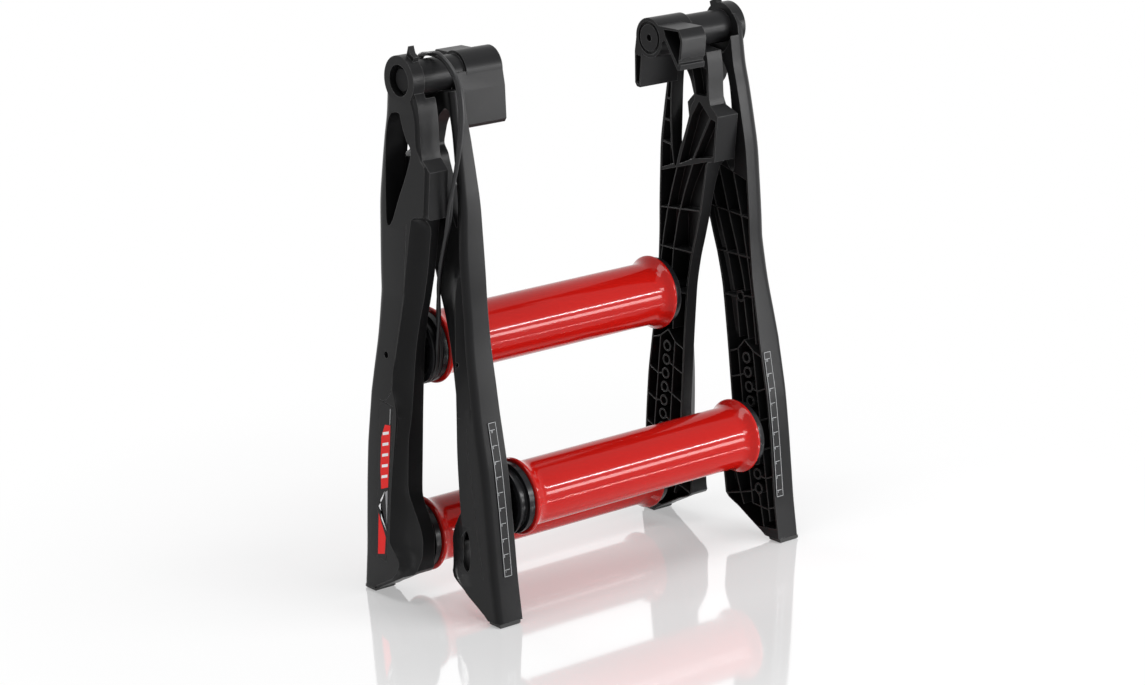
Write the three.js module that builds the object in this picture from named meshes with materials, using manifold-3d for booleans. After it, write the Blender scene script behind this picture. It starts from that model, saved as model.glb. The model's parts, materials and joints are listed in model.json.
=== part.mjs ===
// Folding bike rollers with three drums, folded and standing on the toes of the four arms.
// Millimetres, +Z up. The drums lie along X and the front frame leans to -Y, the rear one to +Y.
// Both frames are built hanging straight down from the hinge line, their outer faces to -Y,
// and the rear frame is the front one turned half round about Z.

import * as THREE from 'three';
import { mergeVertices } from 'three/addons/utils/BufferGeometryUtils.js';
import Module from 'manifold-3d';

const wasm = await Module();
wasm.setup();

// Clearances and cuts
const gap = 0.3;
const bladeOverrun = 5;
const weldTolerance = 0.02;

// Arms: an inner and an outer arm on each frame, so that they fold past each other
const armLength = 700;
const toeShare = 0.983;
const armThickness = 38;
const armDepth = 70;
const innerArmFace = 197;
const armSideGap = 1;
const outerArmFace = innerArmFace + armThickness + armSideGap;
const armWall = 3.6;
const outwardEdgeRound = 9;
const headEdgeRound = 18;
const outerHeadThickness = 31;
const innerHeadThickness = 17;
const footSlotDepth = 14;

// Hinge
const earRadius = 31;
const earThickness = 17;
const earSetback = 7;
const earBoreRadius = 19.8;
const earWeb = 5;
const neckRadius = 22;
const barrelRadius = 26;
const barrelEnd = 128;
const barrelLength = 55;
const headClearRadius = 37;
const hingePinRadius = 8;
const hingePinHeadRadius = 15;
const hingePinHeadHeight = 4;
const hingeWasherHeight = 2;
const hingeScrewRadius = 2.5;
const hingeScrewHeadRadius = 4.4;
const hingeScrewHeadHeight = 4;
const hingeScrewRecess = 5;
const hingeScrewGrip = 14;
const pinHeadChamfer = 1.2;
const washerRim = 2;
const driveShare = 0.5;
const driveDepthShare = 0.5;

// Sockets for the drum axles, and the places of the three drums
const socketPitch = 20;
const socketCount = 10;
const lastSocketRise = 64.1;
const highSocketSpace = 84;
const socketOffset = 4;
const socketDepth = 22;
const socketBossRadius = 12;
const highSocketSpread = 89;

// Sockets between the drum's own and the first of the row
const frontSocketCount = 5;
const lowSocketCount = 9;

// Drums, axles, bearings and end caps
const axleRadius = 5;
const drumEndSpace = 30;
const drumRadius = 42;
const drumFlangeRadius = 50;
const drumBore = 40;
const drumFlare = 25;
const drumLip = 5;
const bearingRadius = 13;
const bearingWidth = 8;
const bearingShieldDepth = 0.6;
const bearingRaceWidth = 2.2;
const bearingFromHubEnd = 0.6;
const spacerRadius = 8;
const capRimRadius = 46;
const capRimWidth = 10;
const capWall = 3;
const capSleeve = 14;
const capHubRadius = 17;
const capHubReach = 23.5;
const capWeb = 3;
const capDish = 5;
const pulleyFloorRadius = 40.3;
const pulleyGrooveWidth = 11.8;
const pulleyGrooveCentre = 15;
const pulleyLip = 2.6;
const tieScrewRadius = 2.5;
const tieScrewHeadRadius = 4.2;
const tieScrewHeadHeight = 3;
const tieScrewGrip = 12;

// Rubber toes, ruler and side panel
const padInset = 3;
const padChamfer = 1.5;
const toePadThickness = 5;
const toePadOuterShare = 0.5;
const toePadInnerShare = 0.18;
const rulerWidth = 12;
const innerRulerPlace = 15.5;
const outerRulerPlace = 8.5;
const plateThickness = 0.8;
const rulerMargin = 9;

// Side panels on the outer arms, as [share of armDepth, share of armLength]
const panelRecess = 1;
const panelMargin = 0.5;
const panelShares = [[-0.24, 0.605], [0.14, 0.605], [0.11, 0.915], [-0.19, 0.915]];

// Drive belt: endless and round, put away in two turns round the upper pulley and the hinge neck
const beltDiameter = 5;
const beltLaneGap = 0.8;
const beltSides = 6;
const samplesPerRow = 6;

const plastic = { colour: 0x1d1d1f, roughness: 0.5, metalness: 0.0 };
const capBlack = { colour: 0x151516, roughness: 0.45, metalness: 0.0 };
const drumRed = { colour: 0xc41a12, roughness: 0.22, metalness: 0.1 };
const steel = { colour: 0x9a9ca0, roughness: 0.35, metalness: 0.9 };
const blackSteel = { colour: 0x26272a, roughness: 0.4, metalness: 0.8 };
const rubber = { colour: 0x111111, roughness: 0.85, metalness: 0.0 };
const beltBlack = { colour: 0x202022, roughness: 0.6, metalness: 0.0 };
const rulerBlack = { colour: 0x3a3b3e, roughness: 0.5, metalness: 0.0 };
const panelGrey = { colour: 0x2c2d30, roughness: 0.4, metalness: 0.0 };

// Flat stretches of the inward edge, which stand on the floor when the rollers lie open
const shoulderTopShare = 0.143;
const shoulderEndShare = 0.231;
const footTopShare = 0.854;
const footEndShare = 0.91;
const groundEdgeShare = -0.943;

// Edges of an arm seen from its side, from the hinge line (0) to the toe.
// Each row is [share of armLength, share of armDepth], outward from the line through the hinge.
const outwardEdgeShares = [
  [-0.022, 0.4], [0, 0.5], [0.06, 0.5], [0.117, 0.557], [0.173, 0.6], [0.23, 0.629], [0.287, 0.6],
  [0.353, 0.557], [0.42, 0.5], [0.486, 0.475], [0.557, 0.5], [0.603, 0.514], [0.651, 0.543],
  [0.71, 0.571], [0.769, 0.564], [0.847, 0.536], [0.927, 0.507], [toeShare, 0.51],
];
const inwardEdgeShares = [
  [-0.022, -0.05], [0, -0.3], [0.03, -0.514], [0.063, -0.6], [0.106, -0.66], [0.127, -0.72],
  [shoulderTopShare, groundEdgeShare], [shoulderEndShare, groundEdgeShare], [0.236, -0.75],
  [0.271, -0.72], [0.337, -0.66], [0.39, -0.575], [0.443, -0.48], [0.504, -0.43], [0.583, -0.44],
  [0.704, -0.48], [0.773, -0.51], [0.796, -0.61], [0.814, -0.75], [0.834, -0.88],
  [footTopShare, groundEdgeShare], [footEndShare, groundEdgeShare], [0.936, -0.571],
  [0.964, -0.171], [toeShare, 0.12],
];

// Thickening of the outer arm from the head down, and of its outer round: [share of armLength, share]
const thickeningShares = [[0.4, 0], [0.6, 1]];

// Slope between the outer arm's face and its inward edge: how much thinner the edge is, as
// [share of armLength, share of armThickness], and where the slope starts, as a share of armDepth
const slopeShares = [
  [0.225, 0.08], [0.26, 0.5], [0.6, 0.55], [0.68, 0.4], [0.75, 0.4], [0.8, 0.5], [0.88, 0.5],
  [0.91, 0.3], [0.95, 0.15], [toeShare, 0.15],
];
const slopeStartShares = [
  [0, -0.2], [0.063, -0.5], [0.106, -0.56], [shoulderTopShare, -0.85], [0.225, -0.85], [0.24, -0.5],
  [0.3, -0.42], [0.396, -0.33], [0.489, -0.23], [0.56, -0.17], [0.62, -0.36], [0.69, -0.32],
  [0.79, -0.27], [0.87, -0.27], [0.905, -0.6], [0.936, -0.45], [0.964, -0.08], [toeShare, 0.2],
];
const slopeHollowShare = 0.7;

// Thickness of the inner arm, as [share of armLength, share of armThickness], at its outward edge,
// in the scoop, on the ridge and at its inward edge, then the places of these as shares of armDepth
const innerHeadShare = innerHeadThickness / armThickness;
const edgeThicknessShares = [
  [0.06, 0.5], [0.15, 0.6], [0.235, 0.72], [0.335, 0.86], [0.42, 0.84], [0.5, 0.9], [0.6, 0.97],
  [0.64, 1],
];
const scoopThicknessShares = [[0.335, innerHeadShare], [0.48, 0.6], [0.57, 0.85], [0.64, 1]];
const ridgeThicknessShares = [[0.335, innerHeadShare], [0.4, 0.8], [0.48, 1]];
const inwardThicknessShares = [
  [0, 0.66], [0.127, 0.66], [shoulderTopShare, 0.92], [shoulderEndShare, 0.92], [0.25, 0.6],
  [0.335, innerHeadShare], [0.75, innerHeadShare], [0.8, 0.55], [0.85, 0.6], [0.9, 0.7],
  [0.936, 0.9], [toeShare, 0.9],
];
const scoopPlaceShares = [[0.5, 0.3], [0.64, 0.34]];
const ridgePlaceShares = [
  [0.48, 0.14], [0.6, -0.05], [0.7, -0.2], [0.8, -0.28], [0.87, -0.3], [0.905, -0.6], [0.936, -0.45],
  [0.964, -0.08], [toeShare, 0.2],
];
const slopeFootShares = [
  [0.48, -0.25], [0.55, -0.38], [0.773, -0.48], [0.834, -0.85], [0.905, -0.9], [0.936, -0.54],
  [0.964, -0.13], [toeShare, 0.15],
];
const leastStepShare = 0.02;

// Rings of an arm that would come closer than this are left out, but never the ones that end a flat.
const stationSpace = 6;
const keptShares = [shoulderTopShare, shoulderEndShare, footTopShare, footEndShare, toeShare];

// Windows in the heads, as [share of armDepth, share of armLength]
const outerWindowShares = [
  [0.13, 0.061], [-0.037, 0.059], [-0.13, 0.077], [-0.27, 0.1], [-0.42, 0.12], [-0.3, 0.165],
  [-0.11, 0.212], [0.04, 0.253], [0.15, 0.271], [0.25, 0.264], [0.303, 0.203], [0.339, 0.127],
  [0.313, 0.09], [0.229, 0.068],
];
const innerWindowShares = [
  [0.19, 0.06], [0.014, 0.0757], [-0.1, 0.089], [-0.196, 0.108], [-0.26, 0.125], [-0.18, 0.141],
  [-0.147, 0.158], [-0.06, 0.193], [0.063, 0.235], [0.16, 0.2715], [0.263, 0.241], [0.35, 0.183],
  [0.4, 0.13], [0.4, 0.09], [0.33, 0.066],
];

// Small helpers for tables, solids and meshes

function readTable(rows, place) {
  const after = rows.findIndex((row) => row[0] >= place);
  if (after === 0) return rows[0][1];
  if (after < 0) return rows[rows.length - 1][1];
  const [start, end] = [rows[after - 1], rows[after]];
  const share = (place - start[0]) / (end[0] - start[0]);
  return THREE.MathUtils.lerp(start[1], end[1], share);
}

function solidFrom(geometry) {
  const bare = new THREE.BufferGeometry();
  const source = geometry.index ? geometry.toNonIndexed() : geometry;
  bare.setAttribute('position', source.getAttribute('position').clone());
  const merged = mergeVertices(bare, weldTolerance);
  const positions = merged.getAttribute('position').array;
  const triangles = Array.from(merged.index.array);
  const kept = [];
  for (let i = 0; i < triangles.length; i += 3) {
    const [a, b, c] = triangles.slice(i, i + 3);
    if (a !== b && b !== c && c !== a) kept.push(a, b, c);
  }
  if (signedVolume(positions, kept) < 0) kept.reverse();
  const mesh = new wasm.Mesh({
    numProp: 3,
    vertProperties: new Float32Array(positions),
    triVerts: new Uint32Array(kept),
  });
  return new wasm.Manifold(mesh);
}

function signedVolume(positions, triangles) {
  const corner = (index) => new THREE.Vector3().fromArray(positions, index * 3);
  let volume = 0;
  for (let i = 0; i < triangles.length; i += 3) {
    const [a, b, c] = triangles.slice(i, i + 3).map(corner);
    volume += a.dot(b.cross(c));
  }
  return volume;
}

function geometryFrom(solid) {
  const mesh = solid.getMesh();
  const geometry = new THREE.BufferGeometry();
  const points = [];
  for (let i = 0; i < mesh.vertProperties.length; i += mesh.numProp) {
    points.push(mesh.vertProperties[i], mesh.vertProperties[i + 1], mesh.vertProperties[i + 2]);
  }
  geometry.setAttribute('position', new THREE.Float32BufferAttribute(points, 3));
  geometry.setIndex(Array.from(mesh.triVerts));
  geometry.computeVertexNormals();
  return geometry;
}

function piece(name, shape, look) {
  const geometry = shape.isBufferGeometry ? shape : geometryFrom(shape);
  const material = new THREE.MeshStandardMaterial({
    color: look.colour,
    roughness: look.roughness,
    metalness: look.metalness,
  });
  const mesh = new THREE.Mesh(geometry, material);
  mesh.name = name;
  return mesh;
}

// Solids in the frame's own axes: X across, outward is -Y, along the arm is -Z.
// A side of -1 puts the solid on the -X arm.

function loft(side, rings) {
  const points = [];
  const triangles = [];
  const count = rings[0].length;
  for (const ring of rings) {
    for (const [across, outward, along] of ring) points.push(side * across, -outward, -along);
  }
  for (let r = 0; r < rings.length - 1; r += 1) {
    for (let i = 0; i < count; i += 1) {
      const a = r * count + i;
      const b = r * count + (i + 1) % count;
      triangles.push(a, b, b + count, a, b + count, a + count);
    }
  }
  const last = (rings.length - 1) * count;
  for (let i = 1; i < count - 1; i += 1) {
    triangles.push(0, i + 1, i);
    triangles.push(last, last + i, last + i + 1);
  }
  const geometry = new THREE.BufferGeometry();
  geometry.setAttribute('position', new THREE.Float32BufferAttribute(points, 3));
  geometry.setIndex(triangles);
  return solidFrom(geometry);
}

function prism(side, outline, from, to) {
  const shape = new THREE.Shape(outline.map(([outward, along]) => new THREE.Vector2(-outward, -along)));
  const geometry = new THREE.ExtrudeGeometry(shape, { depth: to - from, bevelEnabled: false });
  const turn = new THREE.Matrix4().makeBasis(
    new THREE.Vector3(0, 1, 0),
    new THREE.Vector3(0, 0, 1),
    new THREE.Vector3(1, 0, 0),
  );
  geometry.applyMatrix4(turn);
  geometry.translate(side > 0 ? from : -to, 0, 0);
  return solidFrom(geometry);
}

function rod(side, radius, from, to, outward, along, sides = 28) {
  const geometry = new THREE.CylinderGeometry(radius, radius, to - from, sides);
  geometry.rotateZ(-Math.PI / 2);
  geometry.translate(side * (from + to) / 2, -outward, -along);
  return solidFrom(geometry);
}

// Arm outline

const outwardEdge = (along) => armDepth * readTable(outwardEdgeShares, along / armLength);
const inwardEdge = (along) => armDepth * readTable(inwardEdgeShares, along / armLength);
const toeReach = toeShare * armLength;

// Places of the sockets, counted up from the toe
const lastSocket = toeReach - lastSocketRise;
const firstSocket = lastSocket - socketPitch * (socketCount - 1);
const highSocket = firstSocket - highSocketSpace;

// The frames lean so far that their high sockets are spread apart by the named distance, and the
// hinge line stands so high that the toe pads meet the floor.
const restLean = Math.asin(highSocketSpread / 2 / highSocket);
const toeSlant = Math.tan(restLean);
const pivotHeight = toeReach * Math.cos(restLean) + gap + toePadThickness;

// One ring of an arm: the outward edge with its round, then the points of the arm's outer side
function armRing(face, along, thickness, round, outerSide) {
  const outward = outwardEdge(along);
  const inward = inwardEdge(along);
  const outline = [[face, inward], [face, outward]];
  const roundSteps = 3;
  for (let i = 0; i <= roundSteps; i += 1) {
    const angle = (i / roundSteps) * Math.PI / 2;
    outline.push([
      face + thickness - round + round * Math.sin(angle),
      outward - round + round * Math.cos(angle),
    ]);
  }
  for (const [height, edge] of outerSide) outline.push([face + height, edge]);
  const slant = along < toeReach ? 0 : toeSlant;
  return outline.map(([across, edge]) => [across, edge, along + slant * edge]);
}

function outerThickness(along) {
  const growth = readTable(thickeningShares, along / armLength);
  return THREE.MathUtils.lerp(outerHeadThickness, armThickness, growth);
}

function outerRing(along) {
  const place = along / armLength;
  const growth = readTable(thickeningShares, place);
  const thickness = outerThickness(along);
  const round = THREE.MathUtils.lerp(headEdgeRound, outwardEdgeRound, growth);
  const slope = armThickness * readTable(slopeShares, place);
  const inward = inwardEdge(along);
  const step = armDepth * leastStepShare;
  const start = Math.max(armDepth * readTable(slopeStartShares, place), inward + step);
  return armRing(outerArmFace, along, thickness, round, [
    [thickness, start],
    [thickness - slope * slopeHollowShare, (start + inward) / 2],
    [thickness - slope, inward],
  ]);
}

function innerRing(along) {
  const place = along / armLength;
  const thick = (rows) => armThickness * readTable(rows, place);
  const inward = inwardEdge(along);
  const step = armDepth * leastStepShare;
  const foot = Math.max(armDepth * readTable(slopeFootShares, place), inward + step);
  const ridge = Math.max(armDepth * readTable(ridgePlaceShares, place), foot + step);
  const scoop = Math.max(armDepth * readTable(scoopPlaceShares, place), ridge + step);
  const edge = thick(inwardThicknessShares);
  const fullness = readTable(edgeThicknessShares, place);
  const round = THREE.MathUtils.lerp(outwardEdgeRound / 2, outwardEdgeRound, fullness);
  return armRing(innerArmFace, along, thick(edgeThicknessShares), round, [
    [thick(scoopThicknessShares), scoop],
    [thick(ridgeThicknessShares), ridge],
    [edge, foot],
    [edge, inward],
  ]);
}

function armStations(top, tables) {
  const edges = [outwardEdgeShares, inwardEdgeShares];
  const shares = [...edges, ...tables].flatMap((table) => table.map((row) => row[0]));
  const places = shares.map((share) => share * armLength).filter((along) => along > top);
  const sorted = [top, ...new Set(places)].sort((a, b) => a - b);
  const kept = [top, ...keptShares.map((share) => share * armLength)];
  return sorted.filter((along, i) => kept.includes(along) || sorted[i + 1] - along > stationSpace);
}

// Cells between the ribs, open to the inner side of the arm. Each cross rib is a row of shares of
// armLength: at the outward edge, then at the inward edge.

const ribThickness = 3;
const spineTop = highSocket - socketBossRadius;
const spineEnd = lastSocket + socketBossRadius;
const crossRibShares = [
  [0.289, 0.232], [0.361, 0.34], [0.439, 0.429], [0.515, 0.515], [0.6, 0.6], [0.684, 0.684],
  [0.764, 0.764], [0.845, 0.845], [0.915, 0.915], [0.962, 0.95],
];
const longRibShares = [
  [[0.235, 0.08], [0.361, 0.25], [0.439, 0.33], [0.515, 0.33]],
  [[0.235, -0.34], [0.361, -0.03], [0.439, 0.07], [0.515, 0.08]],
];

function cutCells(solid, side, face, depth) {
  let result = solid;
  const middle = ribThickness / 2;
  for (let i = 0; i < crossRibShares.length - 1; i += 1) {
    const [top, end] = [crossRibShares[i], crossRibShares[i + 1]];
    for (const [low, high] of cellColumns(end[0] * armLength)) {
      const corner = (row, sign, column) => {
        const [outer, inner] = row.map((share) => share * armLength + sign * middle);
        const place = (outer + inner) / 2;
        const edge = column(place);
        const span = (edge - inwardEdge(place)) / (outwardEdge(place) - inwardEdge(place));
        return [edge, THREE.MathUtils.lerp(inner, outer, span)];
      };
      const outline = [
        corner(top, 1, low),
        corner(top, 1, high),
        corner(end, -1, high),
        corner(end, -1, low),
      ];
      result = result.subtract(prism(side, outline, face - bladeOverrun, face + depth));
    }
  }
  return result;
}

// Edges of the cells beside each other: two long ribs above the high socket, the spine below it
function cellColumns(end) {
  const inner = (along) => inwardEdge(along) + armWall;
  const outer = (along) => outwardEdge(along) - armWall;
  const rib = (rows, sign) => (along) => (
    armDepth * readTable(rows, along / armLength) + sign * ribThickness / 2
  );
  if (end < spineTop + socketBossRadius + ribThickness) {
    const [first, second] = longRibShares;
    return [[inner, rib(second, -1)], [rib(second, 1), rib(first, -1)], [rib(first, 1), outer]];
  }
  if (end > spineEnd + socketBossRadius) return [[inner, outer]];
  return [[inner, () => socketOffset - socketBossRadius], [() => socketOffset + socketBossRadius, outer]];
}

function cutSockets(solid, side, face) {
  let result = solid;
  const places = [highSocket];
  for (let i = 0; i < socketCount; i += 1) places.push(firstSocket + socketPitch * i);
  for (const along of places) {
    const [from, to] = [face - bladeOverrun, face + socketDepth];
    result = result.subtract(rod(side, axleRadius + gap, from, to, socketOffset, along, 10));
  }
  const tieHole = rod(
    side,
    tieScrewHeadRadius + gap,
    face + socketDepth + armWall,
    face + armThickness + bladeOverrun,
    socketOffset,
    highSocket,
    14,
  );
  const tieBore = rod(side, tieScrewRadius + gap, face, face + armThickness, socketOffset, highSocket, 12);
  return result.subtract(tieHole).subtract(tieBore);
}

// Outer arm: head with the hinge ear, window, shoulder, and foot

const earPeakShares = [[-0.02, -0.038], [-0.077, -0.0624], [-0.14, -0.05], [-0.25, -0.046], [-0.2, -0.02]];

function outerArm(side) {
  const face = outerArmFace;
  const earOuter = face + outerHeadThickness;
  const earInner = earOuter - earThickness;
  const top = outwardEdgeShares[0][0] * armLength;
  const stations = armStations(top, [slopeShares, slopeStartShares, thickeningShares]);
  let solid = loft(side, stations.map(outerRing));
  solid = solid.add(rod(side, earRadius, earInner, earOuter, 0, 0, 40));
  solid = solid.subtract(rod(side, headClearRadius, face - bladeOverrun, earInner, 0, 0, 32));
  solid = solid.add(prism(side, sized(earPeakShares), earInner, earInner + earThickness / 2));
  const window = prism(side, sized(outerWindowShares), face - bladeOverrun, earOuter + bladeOverrun);
  solid = solid.subtract(window);
  solid = solid.subtract(rod(side, earBoreRadius, earInner + earWeb, earOuter + bladeOverrun, 0, 0, 32));
  solid = solid.subtract(rod(side, hingePinRadius + gap, face, earOuter, 0, 0, 24));
  solid = cutCells(solid, side, face, innerHeadThickness - armWall);
  solid = cutSockets(solid, side, face);
  const outerFace = face + armThickness;
  const recess = prism(side, panelOutline(panelMargin), outerFace - panelRecess, outerFace + bladeOverrun);
  return solid.subtract(recess);
}

function sized(shares) {
  return shares.map(([edge, along]) => [edge * armDepth, along * armLength]);
}

// Inner arm: barrel and neck of the hinge, stop plate and claw, then the arm with its scooped head.
// The claw and the head are hollow from the inner side.

const headTop = 20;
const plateWidth = 70;
const clawWidth = 40;
const stopPlateShares = [[0.17, 0.0], [0.36, 0.0], [0.383, 0.034], [0.32, 0.094], [0.26, 0.1], [0.17, 0.1]];
const plateHollowShares = [[0.22, 0.04], [0.33, 0.04], [0.27, 0.09], [0.22, 0.093]];
const clawShares = [
  [-0.2, -0.0286], [-0.81, -0.0357], [-0.886, -0.0286], [groundEdgeShare, -0.017],
  [groundEdgeShare, 0.017], [-0.9, 0.02], [-0.9, 0.0257], [groundEdgeShare, 0.0286],
  [groundEdgeShare, 0.0386], [-0.857, 0.04], [-0.44, -0.008], [-0.28, 0.006],
];
const clawHollowShares = [[-0.5, -0.024], [-0.81, -0.03], [-0.88, -0.012], [-0.85, 0.028], [-0.5, -0.016]];
const headCellShares = [
  [[0.437, 0.123], [0.505, 0.123], [0.523, 0.142], [0.426, 0.142]],
  [[0.423, 0.1465], [0.527, 0.1465], [0.549, 0.1835], [0.397, 0.1835]],
  [[0.391, 0.188], [0.551, 0.188], [0.571, 0.227], [0.331, 0.227]],
  [[0.323, 0.2315], [0.571, 0.2315], [0.55, 0.28], [0.23, 0.268]],
  [
    [-0.4, 0.126], [-0.22, 0.16], [-0.13, 0.194], [-0.014, 0.237], [0.03, 0.258], [-0.3, 0.24],
    [-0.7, 0.149],
  ],
  [[-0.76, 0.153], [-0.37, 0.24], [-0.8, 0.224], [-0.89, 0.22], [-0.89, 0.156]],
  [[-0.114, 0.06], [-0.25, 0.094], [-0.321, 0.114], [-0.593, 0.11], [-0.536, 0.064]],
];
const footSlotShares = [
  [-0.17, 0.822], [-0.11, 0.832], [-0.11, 0.862], [-0.2, 0.893], [-0.3, 0.9], [-0.38, 0.888],
  [-0.36, 0.865], [-0.26, 0.832],
];

function innerArm(side) {
  const face = innerArmFace;
  const tables = [
    edgeThicknessShares, scoopThicknessShares, ridgeThicknessShares, inwardThicknessShares,
    scoopPlaceShares, ridgePlaceShares, slopeFootShares,
  ];
  let solid = loft(side, armStations(headTop, tables).map(innerRing));
  solid = solid.add(prism(side, sized(stopPlateShares), barrelEnd, barrelEnd + plateWidth));
  solid = solid.add(prism(side, sized(clawShares), barrelEnd, barrelEnd + clawWidth));
  const neckEnd = outerArmFace + outerHeadThickness - earThickness - gap;
  solid = solid.add(rod(side, barrelRadius, barrelEnd, barrelEnd + barrelLength, 0, 0, 36));
  solid = solid.add(rod(side, neckRadius, barrelEnd + barrelLength - bladeOverrun, neckEnd, 0, 0, 28));
  solid = cutHead(solid, side, face);
  const pinTip = hingePinTip();
  solid = solid.subtract(rod(side, hingePinRadius + gap, pinTip, neckEnd + bladeOverrun, 0, 0, 24));
  solid = solid.subtract(rod(side, hingeScrewRadius + gap, barrelEnd, pinTip + bladeOverrun, 0, 0, 16));
  const recessRadius = hingeScrewHeadRadius + gap;
  const recessEnd = barrelEnd + hingeScrewRecess + hingeScrewHeadHeight;
  solid = solid.subtract(rod(side, recessRadius, barrelEnd - bladeOverrun, recessEnd, 0, 0, 18));
  solid = cutCells(solid, side, face, innerHeadThickness - armWall);
  solid = cutSockets(solid, side, face);
  const outerFace = face + armThickness;
  const slot = prism(side, sized(footSlotShares), outerFace - footSlotDepth, outerFace + bladeOverrun);
  return solid.subtract(slot);
}

function cutHead(solid, side, face) {
  let result = solid.subtract(
    prism(side, sized(innerWindowShares), face - bladeOverrun, face + armThickness),
  );
  const depth = innerHeadThickness - armWall;
  for (const shares of headCellShares) {
    result = result.subtract(prism(side, sized(shares), face - bladeOverrun, face + depth));
  }
  const clawFloor = barrelEnd + clawWidth - armWall;
  const plateFloor = barrelEnd + plateWidth - armWall;
  result = result.subtract(prism(side, sized(clawHollowShares), barrelEnd - bladeOverrun, clawFloor));
  return result.subtract(prism(side, sized(plateHollowShares), barrelEnd - bladeOverrun, plateFloor));
}

// Small parts of the hinge. Each inner arm carries the pin that its barrel clamps.

function hingePin(side) {
  const earOuter = outerArmFace + outerHeadThickness;
  const headSeat = earOuter - earThickness + earWeb + gap + hingeWasherHeight + gap;
  const tip = hingePinTip() + gap;
  const profile = [
    [0, headSeat + hingePinHeadHeight],
    [hingePinHeadRadius - pinHeadChamfer, headSeat + hingePinHeadHeight],
    [hingePinHeadRadius, headSeat + hingePinHeadHeight - pinHeadChamfer],
    [hingePinHeadRadius, headSeat],
    [hingePinRadius, headSeat],
    [hingePinRadius, tip],
    [hingeScrewRadius + gap, tip],
    [hingeScrewRadius + gap, tip + hingeScrewGrip],
    [0, tip + hingeScrewGrip],
  ];
  return lathed(side, profile, 20);
}

function hingePinTip() {
  return barrelEnd + hingeScrewRecess + hingeScrewHeadHeight + armWall;
}

function hingeWasher(side) {
  const start = outerArmFace + outerHeadThickness - earThickness + earWeb + gap;
  const washerRadius = hingePinHeadRadius + washerRim;
  return tube(side, hingePinRadius + gap, washerRadius, start, start + hingeWasherHeight, 0, 0, 20);
}

function hingeScrew(side) {
  const headStart = barrelEnd + hingeScrewRecess;
  const headEnd = headStart + hingeScrewHeadHeight - gap;
  const tip = hingePinTip() + hingeScrewGrip;
  return screw(side, headStart, headEnd, tip, hingeScrewHeadRadius, hingeScrewRadius, 0, 0);
}

// A screw with a round head and a six-sided recess, its head between from and to, its tip at tip.
function screw(side, from, to, tip, headRadius, shankRadius, outward, along) {
  const inwards = tip > to ? 1 : -1;
  const [headLow, headHigh] = [Math.min(from, to), Math.max(from, to)];
  const [shankLow, shankHigh] = inwards > 0 ? [to - gap, tip] : [tip, to + gap];
  let solid = rod(side, headRadius, headLow, headHigh, outward, along, 16);
  solid = solid.add(rod(side, shankRadius, shankLow, shankHigh, outward, along, 12));
  const driveDepth = (headHigh - headLow) * driveDepthShare;
  const driveFrom = inwards > 0 ? from - gap : from - driveDepth;
  const driveTo = inwards > 0 ? from + driveDepth : from + gap;
  return solid.subtract(rod(side, headRadius * driveShare, driveFrom, driveTo, outward, along, 6));
}

function lathed(side, profile, sides) {
  const points = profile.map(([radius, place]) => new THREE.Vector2(radius, place));
  const closed = profile[0][0] > 0 ? [...points, points[0].clone()] : points;
  const geometry = new THREE.LatheGeometry(closed, sides);
  geometry.rotateZ(-Math.PI / 2);
  if (side < 0) geometry.scale(-1, 1, 1);
  return solidFrom(geometry);
}

function tube(side, boreRadius, radius, from, to, outward, along, sides) {
  const profile = [[boreRadius, from], [radius, from], [radius, to], [boreRadius, to]];
  return lathed(side, profile, sides).translate([0, -outward, -along]);
}

// Drums. Each one ends at the same space from the inner arm and from the outer arm.

const drumStart = -(innerArmFace - drumEndSpace);
const drumEnd = outerArmFace - drumEndSpace;
const drumFlareShares = [[0, 0.75], [0.1, 1], [0.32, 0.68], [0.6, 0.22], [1, 0]];

function drum(along) {
  const flare = drumFlareShares.map(([place, rise]) => [
    drumRadius + (drumFlangeRadius - drumRadius) * rise,
    drumFlare * place,
  ]);
  const low = flare.map(([radius, place]) => [radius, drumStart + place]);
  const high = flare.map(([radius, place]) => [radius, drumEnd - place]).reverse();
  const profile = [[drumBore, drumStart], ...low, ...high, [drumBore, drumEnd]];
  return lathed(1, profile, 26).translate([0, -socketOffset, -along]);
}

// The cap's profile is measured outwards from the end of the drum.
function capProfile(isPulley) {
  const rimOuter = isPulley ? pulleyGrooveCentre + pulleyGrooveWidth / 2 + pulleyLip : capRimWidth;
  const rimInner = isPulley ? pulleyFloorRadius - capWall : capRimRadius - capWall;
  const grooveStart = pulleyGrooveCentre - pulleyGrooveWidth / 2;
  const grooveEnd = pulleyGrooveCentre + pulleyGrooveWidth / 2;
  const groove = [
    [capRimRadius, grooveStart],
    [pulleyFloorRadius, grooveStart],
    [pulleyFloorRadius, grooveEnd],
    [capRimRadius, grooveEnd],
  ];
  const sleeve = drumBore - gap;
  const webOuter = rimOuter - capDish;
  const webInner = webOuter - capWeb;
  const seat = capHubReach - bearingFromHubEnd - bearingWidth - gap;
  return [
    [sleeve - capWall, -capSleeve],
    [sleeve, -capSleeve],
    [sleeve, gap],
    [capRimRadius, gap],
    ...(isPulley ? groove : []),
    [capRimRadius, rimOuter],
    [rimInner, rimOuter],
    [rimInner, webOuter],
    [capHubRadius, webOuter],
    [capHubRadius, capHubReach],
    [bearingRadius + gap, capHubReach],
    [bearingRadius + gap, seat],
    [spacerRadius + bearingRaceWidth, seat],
    [spacerRadius + bearingRaceWidth, Math.min(webInner, seat) - capWeb],
    [sleeve - capWall, Math.min(webInner, seat) - capWeb],
  ];
}

const endPlace = (side) => (side < 0 ? -drumStart : drumEnd);

function cap(side, along, isPulley) {
  const profile = capProfile(isPulley).map(([radius, place]) => [radius, endPlace(side) + place]);
  return lathed(side, profile, isPulley ? 22 : 18).translate([0, -socketOffset, -along]);
}

const bearingStart = capHubReach - bearingFromHubEnd - bearingWidth;

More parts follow.
